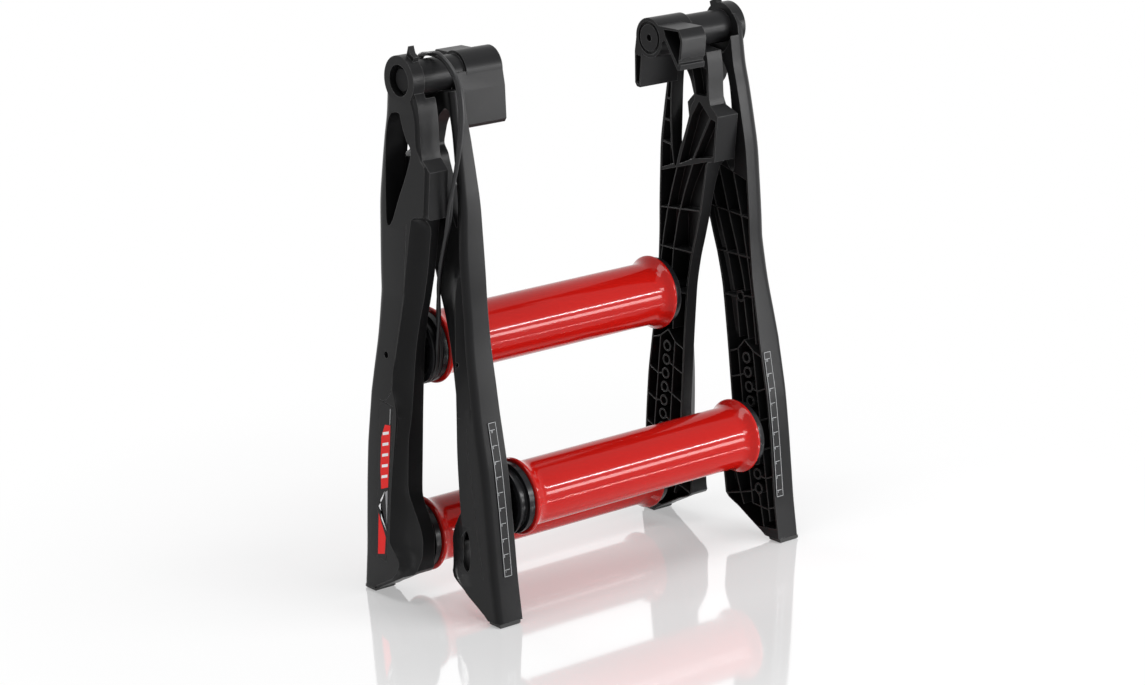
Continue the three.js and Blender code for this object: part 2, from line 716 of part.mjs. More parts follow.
function bearing(side, along) {
  const start = endPlace(side) + bearingStart;
  const end = start + bearingWidth;
  const bore = axleRadius + gap;
  const profile = [
    [bore, start],
    [bearingRadius, start],
    [bearingRadius, end],
    [bearingRadius - bearingRaceWidth, end],
    [bearingRadius - bearingRaceWidth, end - bearingShieldDepth],
    [bore + bearingRaceWidth, end - bearingShieldDepth],
    [bore + bearingRaceWidth, end],
    [bore, end],
  ];
  return lathed(side, profile, 12).translate([0, -socketOffset, -along]);
}

function spacer(side, along) {
  const from = endPlace(side) + bearingStart + bearingWidth + gap;
  const to = endPlace(side) + drumEndSpace - gap;
  return tube(side, axleRadius + gap, spacerRadius, from, to, socketOffset, along, 12);
}

// Axles end in the sockets; the one in the high sockets is drilled for the screws that tie the arms.
function axle(along) {
  const start = -(innerArmFace + socketDepth - gap);
  const end = outerArmFace + socketDepth - gap;
  let solid = rod(1, axleRadius, start, end, socketOffset, along, 16);
  if (along === highSocket) {
    const bore = tieScrewRadius + gap;
    const lowEnd = start + tieScrewGrip + gap;
    const highEnd = end - tieScrewGrip - gap;
    solid = solid.subtract(rod(1, bore, start - bladeOverrun, lowEnd, socketOffset, along, 12));
    solid = solid.subtract(rod(1, bore, highEnd, end + bladeOverrun, socketOffset, along, 12));
  }
  return solid;
}

function tieScrew(side) {
  const face = side < 0 ? innerArmFace : outerArmFace;
  const headLow = face + socketDepth + armWall + gap;
  const tip = face + socketDepth - tieScrewGrip;
  const headHigh = headLow + tieScrewHeadHeight;
  return screw(
    side,
    headHigh,
    headLow,
    tip,
    tieScrewHeadRadius,
    tieScrewRadius,
    socketOffset,
    highSocket,
  );
}

// Rubber toes

function toePad(side) {
  const face = side < 0 ? innerArmFace : outerArmFace;
  const outward = armDepth * toePadOuterShare;
  const inward = armDepth * toePadInnerShare;
  const ring = (drop, inset) => {
    const level = (edge) => toeReach + toeSlant * edge + drop / Math.cos(restLean);
    const [near, far] = [face + padInset + inset, face + armThickness - padInset - inset];
    const [low, high] = [inward + inset, outward - inset];
    return [
      [near, low, level(low)],
      [near, high, level(high)],
      [far, high, level(high)],
      [far, low, level(low)],
    ];
  };
  const end = gap + toePadThickness;
  return loft(side, [ring(gap, 0), ring(end - padChamfer, 0), ring(end, padChamfer)]);
}

// Ruler on the outward face, for choosing the front drum's socket, and the side panels.
// The ruler bends with the arm's edge.

function ruler(side) {
  const face = side < 0 ? innerArmFace : outerArmFace;
  const start = firstSocket - rulerMargin;
  const end = lastSocket + rulerMargin;
  const bends = outwardEdgeShares.map((row) => row[0] * armLength);
  const places = [start, ...bends.filter((along) => along > start && along < end), end];
  const seat = places.map((along) => [outwardEdge(along) + gap, along]);
  const top = places.map((along) => [outwardEdge(along) + gap + plateThickness, along]);
  const middle = face + (side < 0 ? innerRulerPlace : outerRulerPlace);
  return prism(side, [...seat, ...top.reverse()], middle - rulerWidth / 2, middle + rulerWidth / 2);
}

function panelOutline(grow) {
  const outwardSigns = [-1, 1, 1, -1];
  const alongSigns = [-1, -1, 1, 1];
  return panelShares.map(([edge, along], i) => [
    edge * armDepth + outwardSigns[i] * grow,
    along * armLength + alongSigns[i] * grow,
  ]);
}

function sidePanel(side) {
  const seat = outerArmFace + armThickness - panelRecess + gap;
  return prism(side, panelOutline(0), seat, seat + plateThickness);
}

// One frame, built hanging from the hinge line: its inner arm on -X and its outer arm on +X.
// The side given as left is the one that ends up on -X in the finished rollers.

function frame(name, leftSide, drums) {
  const sideName = (side) => (side === leftSide ? 'left' : 'right');
  const group = new THREE.Group();
  group.name = `${name}_frame`;
  group.add(piece(`${name}_arm_${sideName(-1)}`, innerArm(-1), plastic));
  group.add(piece(`${name}_arm_${sideName(1)}`, outerArm(1), plastic));
  group.add(piece(`hinge_pin_${sideName(-1)}`, hingePin(-1), blackSteel));
  group.add(piece(`hinge_washer_${sideName(-1)}`, hingeWasher(-1), blackSteel));
  group.add(piece(`hinge_screw_${sideName(-1)}`, hingeScrew(-1), blackSteel));
  group.add(piece(`side_panel_${sideName(1)}`, sidePanel(1), panelGrey));
  for (const side of [-1, 1]) group.add(piece(`${name}_toe_pad_${sideName(side)}`, toePad(side), rubber));
  for (const [drumName, along] of drums) group.add(...drumPieces(drumName, along, leftSide));
  return group;
}

function drumPieces(name, along, pulleySide) {
  const pieces = [
    piece(`${name}_drum`, drum(along), drumRed),
    piece(`${name}_axle`, axle(along), steel),
  ];
  for (const side of [-1, 1]) {
    const isPulley = side === pulleySide;
    const sideName = isPulley ? 'left' : 'right';
    const capName = isPulley ? `${name}_pulley` : `${name}_end_cap`;
    pieces.push(piece(capName, cap(side, along, isPulley), capBlack));
    pieces.push(piece(`${name}_bearing_${sideName}`, bearing(side, along), steel));
    pieces.push(piece(`${name}_spacer_${sideName}`, spacer(side, along), steel));
    if (along === highSocket) pieces.push(piece(`tie_screw_${sideName}`, tieScrew(side), steel));
  }
  return pieces;
}

// Drive belt. Each row is [towards the rear, up] from the hinge line, then the lane of the pulley
// groove: 1 is the outer lane and -1 the inner one. The two turns change lanes behind the neck, and
// in front of it they lie further out, where they pass the outer side of the front arm.

const beltRoute = [
  [-4, -306, 1], [0, -332, 1], [4, -354, 1], [7.5, -374, 1], [17, -388, 1], [31.5, -397.8, 1],
  [48.5, -401.2, 1], [65.5, -397.8, 1], [80, -388, 1], [89.8, -373, 1], [93, -355, 1], [90, -298, 1],
  [80, -228, 0.6], [71, -158, 0], [64.5, -107, -0.4], [54, -70, -0.8], [43, -38, -1], [30, -8, -1],
  [25, 10.5, -1], [14, 24, -1], [-5, 26, -1], [-26, 22, -1], [-42, 12, -0.6], [-56, -3, 0],
  [-65, -26, 0.9], [-68, -52, 1.9], [-67, -80, 2.9], [-62, -110, 3.7], [-54, -142, 4.1],
  [-48, -172, 4], [-34, -204, 3.6], [-17, -240, 2.2], [-3, -272, 0.3], [5, -296, -0.8],
  [7, -316, -1], [4, -335, -1], [4, -356, -1], [7.8, -373.6, -1], [17.3, -388, -1],
  [31.5, -397.8, -1], [48.5, -401.2, -1], [65.5, -397.8, -1], [80, -388, -1], [89.8, -373, -1],
  [93, -355, -1], [88, -296, -1], [74, -228, -0.6], [64, -158, 0], [57.5, -107, 0.4],
  [48, -70, 0.8], [39, -36, 1], [29.5, -6, 1], [25, 10.5, 1], [14, 24, 1], [-3, 28, 1], [-24, 31, 1],
  [-42, 24, 1.3], [-60, 12, 1.8], [-73, -8, 2.4], [-79, -36, 3.2], [-79, -62, 4.2], [-75, -90, 5.2],
  [-67, -122, 6], [-57, -152, 6.4], [-48, -186, 6.2], [-29, -226, 4.6], [-12, -262, 2.6],
  [-6, -288, 1.4],
];

function beltPath() {
  const groove = drumEnd + pulleyGrooveCentre;
  const lane = (beltDiameter + beltLaneGap) / 2;
  const points = beltRoute.map(([rearward, up, share]) => (
    new THREE.Vector3(-groove - lane * share, rearward, pivotHeight + up)
  ));
  return new THREE.CatmullRomCurve3(points, true, 'centripetal');
}

function driveBelt() {
  const path = beltPath();
  const rings = beltRoute.length;
  const across = new THREE.Vector3(1, 0, 0);
  const points = [];
  const triangles = [];
  for (let r = 0; r < rings; r += 1) {
    const centre = path.getPoint(r / rings);
    const tangent = path.getTangent(r / rings);
    const first = across.clone().addScaledVector(tangent, -across.dot(tangent)).normalize();
    const second = tangent.clone().cross(first);
    for (let i = 0; i < beltSides; i += 1) {
      const angle = (i / beltSides) * Math.PI * 2;
      const point = centre.clone();
      point.addScaledVector(first, Math.cos(angle) * beltDiameter / 2);
      point.addScaledVector(second, Math.sin(angle) * beltDiameter / 2);
      points.push(...point.toArray());
    }
  }
  for (let r = 0; r < rings; r += 1) {
    const next = (r + 1) % rings;
    for (let i = 0; i < beltSides; i += 1) {
      const side = (i + 1) % beltSides;
      const [a, b] = [r * beltSides + i, r * beltSides + side];
      const [c, d] = [next * beltSides + side, next * beltSides + i];
      triangles.push(a, b, c, a, c, d);
    }
  }
  const geometry = new THREE.BufferGeometry();
  geometry.setAttribute('position', new THREE.Float32BufferAttribute(points, 3));
  geometry.setIndex(triangles);
  printBeltFacts(path);
  return solidFrom(geometry);
}

// Least distance of the belt to itself, on points that lie further apart along it than a half turn
// of the neck, and its length.
function printBeltFacts(path) {
  const samples = beltRoute.length * samplesPerRow;
  const points = path.getPoints(samples).slice(0, samples);
  const length = path.getLength();
  const apart = Math.ceil((samples * neckRadius * Math.PI) / length);
  let least = Infinity;
  for (let i = 0; i < samples; i += 1) {
    for (let j = i + apart; j < samples; j += 1) {
      const between = Math.min(j - i, samples - j + i);
      if (between >= apart) least = Math.min(least, points[i].distanceTo(points[j]));
    }
  }
  const clear = least - beltDiameter;
  console.log(`belt: ${length.toFixed(0)} mm long, least gap to itself ${clear.toFixed(2)} mm`);
}

const frontFrame = frame('front', -1, [['front', firstSocket + socketPitch * frontSocketCount]]);
const front = new THREE.Group();
frontFrame.add(piece('front_ruler_left', ruler(-1), rulerBlack));
frontFrame.add(piece('front_ruler_right', ruler(1), rulerBlack));
frontFrame.rotation.x = -restLean;
frontFrame.position.z = pivotHeight;
front.add(frontFrame);

const rearFrame = frame('rear', 1, [
  ['rear_upper', highSocket],
  ['rear_lower', firstSocket + socketPitch * lowSocketCount],
]);
const rear = new THREE.Group();
rearFrame.rotation.x = -restLean;
rearFrame.position.z = pivotHeight;
rear.add(rearFrame);
rear.rotation.z = Math.PI;

const rollers = new THREE.Group();
rollers.name = 'bike_rollers';
rollers.add(front);
rollers.add(rear);
rollers.add(piece('drive_belt', driveBelt(), beltBlack));

// The origin lies below the middle of the whole.
const whole = new THREE.Box3().setFromObject(rollers);
const middle = whole.getCenter(new THREE.Vector3());
rollers.position.y = -middle.y;
console.log(`hinge line at y ${(-middle.y).toFixed(3)} mm, z ${pivotHeight.toFixed(3)} mm`);

export default rollers;
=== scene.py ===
import json
import math

import bmesh
import bpy
from mathutils import Matrix, Vector


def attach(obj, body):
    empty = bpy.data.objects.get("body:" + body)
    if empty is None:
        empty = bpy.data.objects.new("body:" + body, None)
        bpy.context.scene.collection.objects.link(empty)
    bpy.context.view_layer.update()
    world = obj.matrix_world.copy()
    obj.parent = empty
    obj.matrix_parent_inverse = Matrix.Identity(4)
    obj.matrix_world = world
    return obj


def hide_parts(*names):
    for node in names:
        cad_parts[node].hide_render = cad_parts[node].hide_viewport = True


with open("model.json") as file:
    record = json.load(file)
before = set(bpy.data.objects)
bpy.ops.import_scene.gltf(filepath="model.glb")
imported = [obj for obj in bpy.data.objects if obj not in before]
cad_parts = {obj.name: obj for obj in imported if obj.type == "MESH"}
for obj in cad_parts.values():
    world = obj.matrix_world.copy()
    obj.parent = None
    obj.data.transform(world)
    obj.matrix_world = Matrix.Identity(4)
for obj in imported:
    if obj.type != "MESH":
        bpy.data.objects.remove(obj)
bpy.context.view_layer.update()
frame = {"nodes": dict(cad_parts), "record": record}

# Sizes in millimetres, the same as the solids'
MM = 0.001
GAP = 0.3
ARM_LENGTH = 700.0
ARM_DEPTH = 70.0
ARM_THICKNESS = 38.0
INNER_FACE = 197.0
OUTER_FACE = 236.0
OUTER_HEAD = 31.0
INNER_HEAD = 17.0
INNER_TOP = 20.0
WALL = 2.6
RIB_HALF = 0.8
EAR_RADIUS = 31.0
EAR_THICKNESS = 17.0
EAR_BORE = 19.8
EAR_WEB = 5.0
PIN_HOLE = 8.3
PIN_HOLE_START = 12.6
HEAD_CLEAR = 37.0
NECK_RADIUS = 22.0
BARREL_RADIUS = 26.0
BARREL_END = 128.0
BARREL_LENGTH = 55.0
SCREW_HOLE = 2.8
SCREW_HOLE_DEPTH = 20.0
SCREW_RECESS = 4.7
SCREW_RECESS_DEPTH = 9.0
CLAW_WIDTH = 40.0
PLATE_WIDTH = 70.0
PLATE_WALL = 3.0
SLOT_DEPTH = 14.0
RECESS_DEPTH = 1.0
RECESS_CLEAR = 0.5
LABEL_THICKNESS = 0.8
SOCKET_RADIUS = 5.3
SOCKET_OFFSET = 4.0
SOCKET_DEPTH = 22.0
BOSS_RADIUS = 7.8
TIE_HOLE = 4.5
TIE_HOLE_START = 25.6
HIGH_SOCKET = 360.0
HIGH_SPREAD = 89.0
SOCKETS = 10
SOCKET_PITCH = 20.0
FIRST_SOCKET = 444.0
LAST_SOCKET = FIRST_SOCKET + SOCKET_PITCH * (SOCKETS - 1)
FRONT_SOCKET = FIRST_SOCKET + SOCKET_PITCH * 5
END_SPACE = 30.0
DRUM_START = -(INNER_FACE - END_SPACE)
DRUM_END = OUTER_FACE - END_SPACE
DRUMS = {
    "front": ("front", FRONT_SOCKET),
    "rear_upper": ("rear", HIGH_SOCKET),
    "rear_lower": ("rear", LAST_SOCKET),
}
BELT_DIAMETER = 5.0
BELT_GAP = 0.8

# Shares of the arm's length (its two ends) and of its depth (the flats it lies on when open)
HEAD_TOP = -0.022
TOE = 0.983
GROUND = -0.943

# Each frame leans from the hinge line, whose place centres the whole over the origin
PAD_THICKNESS = 5.0
LEAN = math.asin(HIGH_SPREAD / 2 / HIGH_SOCKET)
PIVOT_Z = TOE * ARM_LENGTH * math.cos(LEAN) + GAP + PAD_THICKNESS
HINGE_Y = -3.637

# How far shapes that cut or join reach past the surface, and the number of sides of round ones
OVER = 5.0
SEAM_OVER = 6.0
CELL_OVER = 8.0
FAR = 50.0
CELL_FAR = 60.0
HOLE_SIDES = 40
PIN_SIDES = 64
FINE_SIDES = 96

CENTRE = Matrix.Translation((0, HINGE_Y, PIVOT_Z))
FRONT = CENTRE @ Matrix.Rotation(-LEAN, 4, "X")
REAR = CENTRE @ Matrix.Rotation(math.pi, 4, "Z") @ Matrix.Rotation(-LEAN, 4, "X")
PLACES = {"front": FRONT, "rear": REAR}


# Camera, from the photograph: degrees, then metres from the floor below the hinge line, then pixels

YAW, PITCH, ROLL = 37.72, 15.92, -1.65
CAMERA_PLACE = (-2.37053, -3.05047, 1.40593)
FOCAL_PIXELS = 3084.41
PHOTO_WIDTH = 1145.0
SENSOR_WIDTH = 36.0
FAR_LIMIT = 60.0


def camera():
    yaw, pitch, roll = (math.radians(angle) for angle in (YAW, PITCH, ROLL))
    away = Vector((math.sin(yaw) * math.cos(pitch), math.cos(yaw) * math.cos(pitch), -math.sin(pitch)))
    right = Vector((math.cos(yaw), -math.sin(yaw), 0))
    up = right.cross(away)
    turned_right = math.cos(roll) * right + math.sin(roll) * up
    turned_up = -math.sin(roll) * right + math.cos(roll) * up
    data = bpy.data.cameras.new("photo_camera")
    data.sensor_width = SENSOR_WIDTH
    data.lens = SENSOR_WIDTH * FOCAL_PIXELS / PHOTO_WIDTH
    data.clip_end = FAR_LIMIT
    thing = bpy.data.objects.new("photo_camera", data)
    place = Matrix.Identity(4)
    for row in range(3):
        place[row][0] = turned_right[row]
        place[row][1] = turned_up[row]
        place[row][2] = -away[row]
    place.translation = Vector(CAMERA_PLACE) + Vector((0, HINGE_Y * MM, 0))
    thing.matrix_world = place
    bpy.context.collection.objects.link(thing)
    bpy.context.scene.camera = thing


# Materials

WHITE = (1, 1, 1, 1)
COAT_ROUGHNESS = 0.035
GRAIN_DETAIL = 3.0
GRAIN_HEIGHT = 0.0002
PATCH_SCALE = 9.0
PATCH_DETAIL = 4.0
SMOOTHEST = 0.82
ROUGHEST = 1.18
EDGE_SAMPLES = 6
EDGE_STARTS = 0.995
EDGE_FULL = 0.8


def new_node(nodes, kind, inputs=None, **settings):
    # a shader node with its settings, then the values of its inputs
    made = nodes.new(kind)
    for name, value in settings.items():
        setattr(made, name, value)
    for name, value in (inputs or {}).items():
        made.inputs[name].default_value = value
    return made


def shader(name):
    material = bpy.data.materials.new(name)
    material.use_nodes = True
    nodes = material.node_tree.nodes
    return material, nodes, material.node_tree.links, nodes["Principled BSDF"]


def grained(name, colour, roughness, grain, bump, spread=0.25, metallic=0.0, edge=0.8, coat=0.0, specular=0.5,
            edge_highlight=0.0):
    # colour and roughness vary over broad patches, a fine grain raises the surface, and edges look rounded
    material, nodes, links, surface = shader(name)
    surface.inputs["Metallic"].default_value = metallic
    surface.inputs["Coat Weight"].default_value = coat
    surface.inputs["Coat Roughness"].default_value = COAT_ROUGHNESS
    surface.inputs["Specular IOR Level"].default_value = specular
    place = nodes.new("ShaderNodeTexCoord")
    fine = new_node(nodes, "ShaderNodeTexNoise", {"Scale": grain, "Detail": GRAIN_DETAIL})
    broad = new_node(nodes, "ShaderNodeTexNoise", {"Scale": PATCH_SCALE, "Detail": PATCH_DETAIL})
    links.new(place.outputs["Object"], fine.inputs["Vector"])
    links.new(place.outputs["Object"], broad.inputs["Vector"])
    darker = (*[c * (1 - spread) for c in colour], 1)
    lighter = (*[c * (1 + spread) for c in colour], 1)
    tint = new_node(nodes, "ShaderNodeMix", {"A": darker, "B": lighter}, data_type="RGBA")
    links.new(broad.outputs["Fac"], tint.inputs["Factor"])
    links.new(tint.outputs["Result"], surface.inputs["Base Color"])
    limits = {"To Min": roughness * SMOOTHEST, "To Max": roughness * ROUGHEST}
    rough = new_node(nodes, "ShaderNodeMapRange", limits)
    links.new(broad.outputs["Fac"], rough.inputs["Value"])
    links.new(rough.outputs["Result"], surface.inputs["Roughness"])
    round_edge = new_node(nodes, "ShaderNodeBevel", {"Radius": edge * MM}, samples=EDGE_SAMPLES)
    raised = new_node(nodes, "ShaderNodeBump", {"Strength": bump, "Distance": GRAIN_HEIGHT})
    links.new(fine.outputs["Fac"], raised.inputs["Height"])
    links.new(round_edge.outputs["Normal"], raised.inputs["Normal"])
    links.new(raised.outputs["Normal"], surface.inputs["Normal"])
    # painted highlight: the edges get a lighter colour where the rounded normal turns away from the face
    if edge_highlight:
        paint_edge_highlights(nodes, links, surface, tint.outputs["Result"], round_edge.outputs["Normal"], edge_highlight)
    return material


def paint_edge_highlights(nodes, links, surface, colour, rounded_normal, edge_highlight):
    # painted highlight: moulded edges are painted a little lighter than the faces between them, where light
    # would catch them
    flat = nodes.new("ShaderNodeNewGeometry")
    turn = new_node(nodes, "ShaderNodeVectorMath", operation="DOT_PRODUCT")
    links.new(flat.outputs["Normal"], turn.inputs[0])
    links.new(rounded_normal, turn.inputs[1])
    near = new_node(nodes, "ShaderNodeMapRange", {"From Min": EDGE_STARTS, "From Max": EDGE_FULL})
    links.new(turn.outputs["Value"], near.inputs["Value"])
    highlit = new_node(nodes, "ShaderNodeMix", {"B": (edge_highlight, edge_highlight, edge_highlight, 1)}, data_type="RGBA")
    links.new(near.outputs["Result"], highlit.inputs["Factor"])
    links.new(colour, highlit.inputs["A"])
    links.new(highlit.outputs["Result"], surface.inputs["Base Color"])


# Colour, roughness, scale and strength of the grain, then what differs from the usual surface
LOOKS = {
    # the black plastic gets a painted highlight along its edges
    "arm_plastic": grained(
        "satin_black_plastic", (0.011, 0.011, 0.0115), 0.32, 1400, 0.3, edge=1.2, specular=0.1, edge_highlight=0.1,
    ),
    # painted highlight: the black plastic, painted light grey on the edges of its ribs and walls
    "rib_edge_highlight": grained("rib_edge_painted_highlight", (0.28, 0.28, 0.285), 0.5, 1400, 0.3, edge=0.3, specular=0.4),
    "cap_plastic": grained(
        "turned_black_plastic", (0.008, 0.008, 0.009), 0.26, 900, 0.12, edge=0.6, specular=0.16,
    ),
    "drum_red": grained(
        "glossy_red", (0.36, 0.006, 0.004), 0.14, 500, 0.02, spread=0.05, edge=0.4, coat=0.2, specular=0.1,
    ),
    "steel": grained(
        "turned_steel", (0.55, 0.55, 0.56), 0.3, 1200, 0.1, metallic=1.0, spread=0.08, edge=0.3,
    ),
    "black_steel": grained(
        "blackened_steel", (0.006, 0.006, 0.0065), 0.5, 1200, 0.1, spread=0.08, edge=0.3, specular=0.1,
    ),
    "pad_rubber": grained("black_rubber", (0.015, 0.015, 0.015), 0.75, 1800, 0.5),
    "belt": grained("belt_cord", (0.016, 0.016, 0.017), 0.36, 1500, 0.2, edge=0.2, specular=0.3),
    "ruler": grained("ruler_black", (0.015, 0.015, 0.0155), 0.36, 1400, 0.3, edge=0.3, specular=0.1),
    "panel": grained("panel_base", (0.012, 0.012, 0.0125), 0.34, 600, 0.05, edge=0.2, specular=0.1),
    "print": grained("printed_line", (0.42, 0.43, 0.44), 0.6, 1500, 0.2, spread=0.15, edge=0.1),
    "print_white": grained(
        "printed_white", (0.85, 0.85, 0.86), 0.4, 900, 0.1, spread=0.06, edge=0.1, specular=0.2,
    ),
    "print_red": grained(
        "printed_red", (0.8, 0.012, 0.01), 0.32, 900, 0.1, spread=0.06, edge=0.1, specular=0.1,
    ),
    "print_grey": grained("printed_grey", (0.25, 0.25, 0.26), 0.4, 900, 0.1, spread=0.08, edge=0.1),
}


def dress(thing, look):
    thing.data.materials.clear()
    thing.data.materials.append(LOOKS[look])


# Mesh helpers. Shapes of an arm are written as [x, depth, length], measured from the hinge line

SAME_POINT = 1e-6
CURVE_STEPS = 6


def add_object(name, mesh):
    thing = bpy.data.objects.new(name, mesh)
    bpy.context.collection.objects.link(thing)
    return thing


def mesh_from(name, points, faces, place=None):
    # the points are in millimetres, and the mesh is in metres
    build = bmesh.new()
    corners = [build.verts.new(Vector(p) * MM) for p in points]
    for face in faces:
        build.faces.new([corners[i] for i in face])
    bmesh.ops.remove_doubles(build, verts=build.verts, dist=SAME_POINT)
    bmesh.ops.recalc_face_normals(build, faces=build.faces)
    mesh = bpy.data.meshes.new(name)
    build.to_mesh(mesh)
    build.free()
    if place is not None:
        mesh.transform(metres(place))
    return mesh


def metres(place):
    scaled = place.copy()
    scaled.translation = place.translation * MM
    return scaled


def smooth(mesh, angle):
    # edges that turn by less than the angle are shaded round
    build = bmesh.new()
    build.from_mesh(mesh)
    limit = math.radians(angle)
    for face in build.faces:
        face.smooth = True
    for edge in build.edges:
        edge.smooth = len(edge.link_faces) == 2 and edge.calc_face_angle(0.0) < limit
    build.to_mesh(mesh)
    build.free()


def turned(name, profile, sides, place):
    # profile is [radius, place along X], closed on itself
    points, faces = [], []
    for step in range(sides):
        angle = 2 * math.pi * step / sides
        for radius, along in profile:
            points.append((along, radius * math.cos(angle), radius * math.sin(angle)))
    count = len(profile)
    for step in range(sides):
        after = (step + 1) % sides
        for i in range(count):
            j = (i + 1) % count
            faces.append((step * count + i, step * count + j, after * count + j, after * count + i))
    return mesh_from(name, points, faces, place)


def loft(name, side, rings):
    # solid through rings of points, all with the same count
    count = len(rings[0])
    points = [(side * x, -d, -h) for ring in rings for x, d, h in ring]
    faces = []
    for r in range(len(rings) - 1):
        for i in range(count):
            j = (i + 1) % count
            faces.append((r * count + i, r * count + j, (r + 1) * count + j, (r + 1) * count + i))
    last = (len(rings) - 1) * count
    faces.append(tuple(range(count)))
    faces.append(tuple(range(last, last + count)))
    return mesh_from(name, points, faces)


def prism(name, side, outline, low, high):
    # solid with the outline [depth, length] between two places on X
    return loft(name, side, [[(x, d, h) for d, h in outline] for x in (low, high)])


def rod(name, side, radius, low, high, d=0.0, h=0.0, sides=PIN_SIDES):
    angles = [2 * math.pi * i / sides for i in range(sides)]
    outline = [(d + radius * math.cos(angle), h + radius * math.sin(angle)) for angle in angles]
    return prism(name, side, outline, low, high)


def rounded(outline, steps=CURVE_STEPS):
    # a closed smooth curve through the corners of an outline
    count = len(outline)
    points = []
    for i in range(count):
        a, b, c, d = (Vector(outline[(i + k) % count]) for k in (-1, 0, 1, 2))
        for s in range(steps):
            t = s / steps
            point = 0.5 * (
                2 * b + (c - a) * t + (2 * a - 5 * b + 4 * c - d) * t * t + (3 * b - a - 3 * c + d) * t ** 3
            )
            points.append(tuple(point))
    return points


def cut(mesh):
    return ("DIFFERENCE", mesh)


def join(mesh):
    return ("UNION", mesh)


def combine(base, steps):
    # the base mesh with each step cut from it or joined to it, one after another
    thing = add_object("working_solid", base)
    tools = []
    for operation, mesh in steps:
        tool = add_object("working_tool", mesh)
        tools.append(tool)
        change = thing.modifiers.new("step", "BOOLEAN")
        change.operation = operation
        change.object = tool
        change.solver = "MANIFOLD"
    bpy.context.view_layer.update()
    shown = thing.evaluated_get(bpy.context.evaluated_depsgraph_get())
    result = bpy.data.meshes.new_from_object(shown)
    for leftover in [thing, *tools]:
        old = leftover.data
        bpy.data.objects.remove(leftover)
        bpy.data.meshes.remove(old)
    return result


# Arm outline tables, the same as the solids': [share of length, share of depth or thickness]

# the two edges of an arm
OUTWARD = [
    (HEAD_TOP, 0.4), (0, 0.5), (0.06, 0.5), (0.117, 0.557), (0.173, 0.6), (0.23, 0.629), (0.287, 0.6),
    (0.353, 0.557), (0.42, 0.5), (0.486, 0.475), (0.557, 0.5), (0.603, 0.514), (0.651, 0.543),
    (0.71, 0.571), (0.769, 0.564), (0.847, 0.536), (0.927, 0.507), (TOE, 0.51),
]
INWARD = [
    (HEAD_TOP, -0.05), (0, -0.3), (0.03, -0.514), (0.063, -0.6), (0.106, -0.66), (0.127, -0.72),
    (0.143, GROUND), (0.231, GROUND), (0.236, -0.75), (0.271, -0.72), (0.337, -0.66), (0.39, -0.575),
    (0.443, -0.48), (0.504, -0.43), (0.583, -0.44), (0.704, -0.48), (0.773, -0.51), (0.796, -0.61),
    (0.814, -0.75), (0.834, -0.88), (0.854, GROUND), (0.91, GROUND), (0.936, -0.571), (0.964, -0.171),
    (TOE, 0.12),
]
# outer arm: growth from the head's thickness to the full one, and the slope along its inward edge
GROWTH = [(0.4, 0.0), (0.6, 1.0)]
SLOPE = [
    (0.225, 0.08), (0.26, 0.5), (0.6, 0.55), (0.68, 0.4), (0.75, 0.4), (0.8, 0.5), (0.88, 0.5),
    (0.91, 0.3), (0.95, 0.15), (TOE, 0.15),
]
SLOPE_START = [
    (0, -0.2), (0.063, -0.5), (0.106, -0.56), (0.143, -0.85), (0.225, -0.85), (0.24, -0.5),
    (0.3, -0.42), (0.396, -0.33), (0.489, -0.23), (0.56, -0.17), (0.62, -0.36), (0.69, -0.32),
    (0.79, -0.27), (0.87, -0.27), (0.905, -0.6), (0.936, -0.45), (0.964, -0.08), (TOE, 0.2),
]
# inner arm: thickness at the outward edge, the scoop, the ridge and the inward edge, then their places
HEAD = INNER_HEAD / ARM_THICKNESS
EDGE_THICKNESS = [
    (0.06, 0.5), (0.15, 0.6), (0.235, 0.72), (0.335, 0.86), (0.42, 0.84), (0.5, 0.9), (0.6, 0.97), (0.64, 1),
]
SCOOP_THICKNESS = [(0.335, HEAD), (0.48, 0.6), (0.57, 0.85), (0.64, 1)]
RIDGE_THICKNESS = [(0.335, HEAD), (0.4, 0.8), (0.48, 1)]
INWARD_THICKNESS = [
    (0, 0.66), (0.127, 0.66), (0.143, 0.92), (0.231, 0.92), (0.25, 0.6), (0.335, HEAD), (0.75, HEAD),
    (0.8, 0.55), (0.85, 0.6), (0.9, 0.7), (0.936, 0.9), (TOE, 0.9),
]
SCOOP_PLACE = [(0.5, 0.3), (0.64, 0.34)]
RIDGE_PLACE = [
    (0.48, 0.14), (0.6, -0.05), (0.7, -0.2), (0.8, -0.28), (0.87, -0.3), (0.905, -0.6), (0.936, -0.45),
    (0.964, -0.08), (TOE, 0.2),
]
SLOPE_FOOT = [
    (0.48, -0.25), (0.55, -0.38), (0.773, -0.48), (0.834, -0.85), (0.905, -0.9), (0.936, -0.54),
    (0.964, -0.13), (TOE, 0.15),
]
# openings in the heads: [share of depth, share of length]
OUTER_WINDOW = [
    (0.13, 0.061), (-0.037, 0.059), (-0.13, 0.077), (-0.27, 0.1), (-0.42, 0.12), (-0.3, 0.165),
    (-0.11, 0.212), (0.04, 0.253), (0.15, 0.271), (0.25, 0.264), (0.303, 0.203), (0.339, 0.127),
    (0.313, 0.09), (0.229, 0.068),
]
INNER_WINDOW = [
    (0.19, 0.06), (0.014, 0.0757), (-0.1, 0.089), (-0.196, 0.108), (-0.26, 0.125), (-0.18, 0.141),
    (-0.147, 0.158), (-0.06, 0.193), (0.063, 0.235), (0.16, 0.2715), (0.263, 0.241), (0.35, 0.183),
    (0.4, 0.13), (0.4, 0.09), (0.33, 0.066),
]

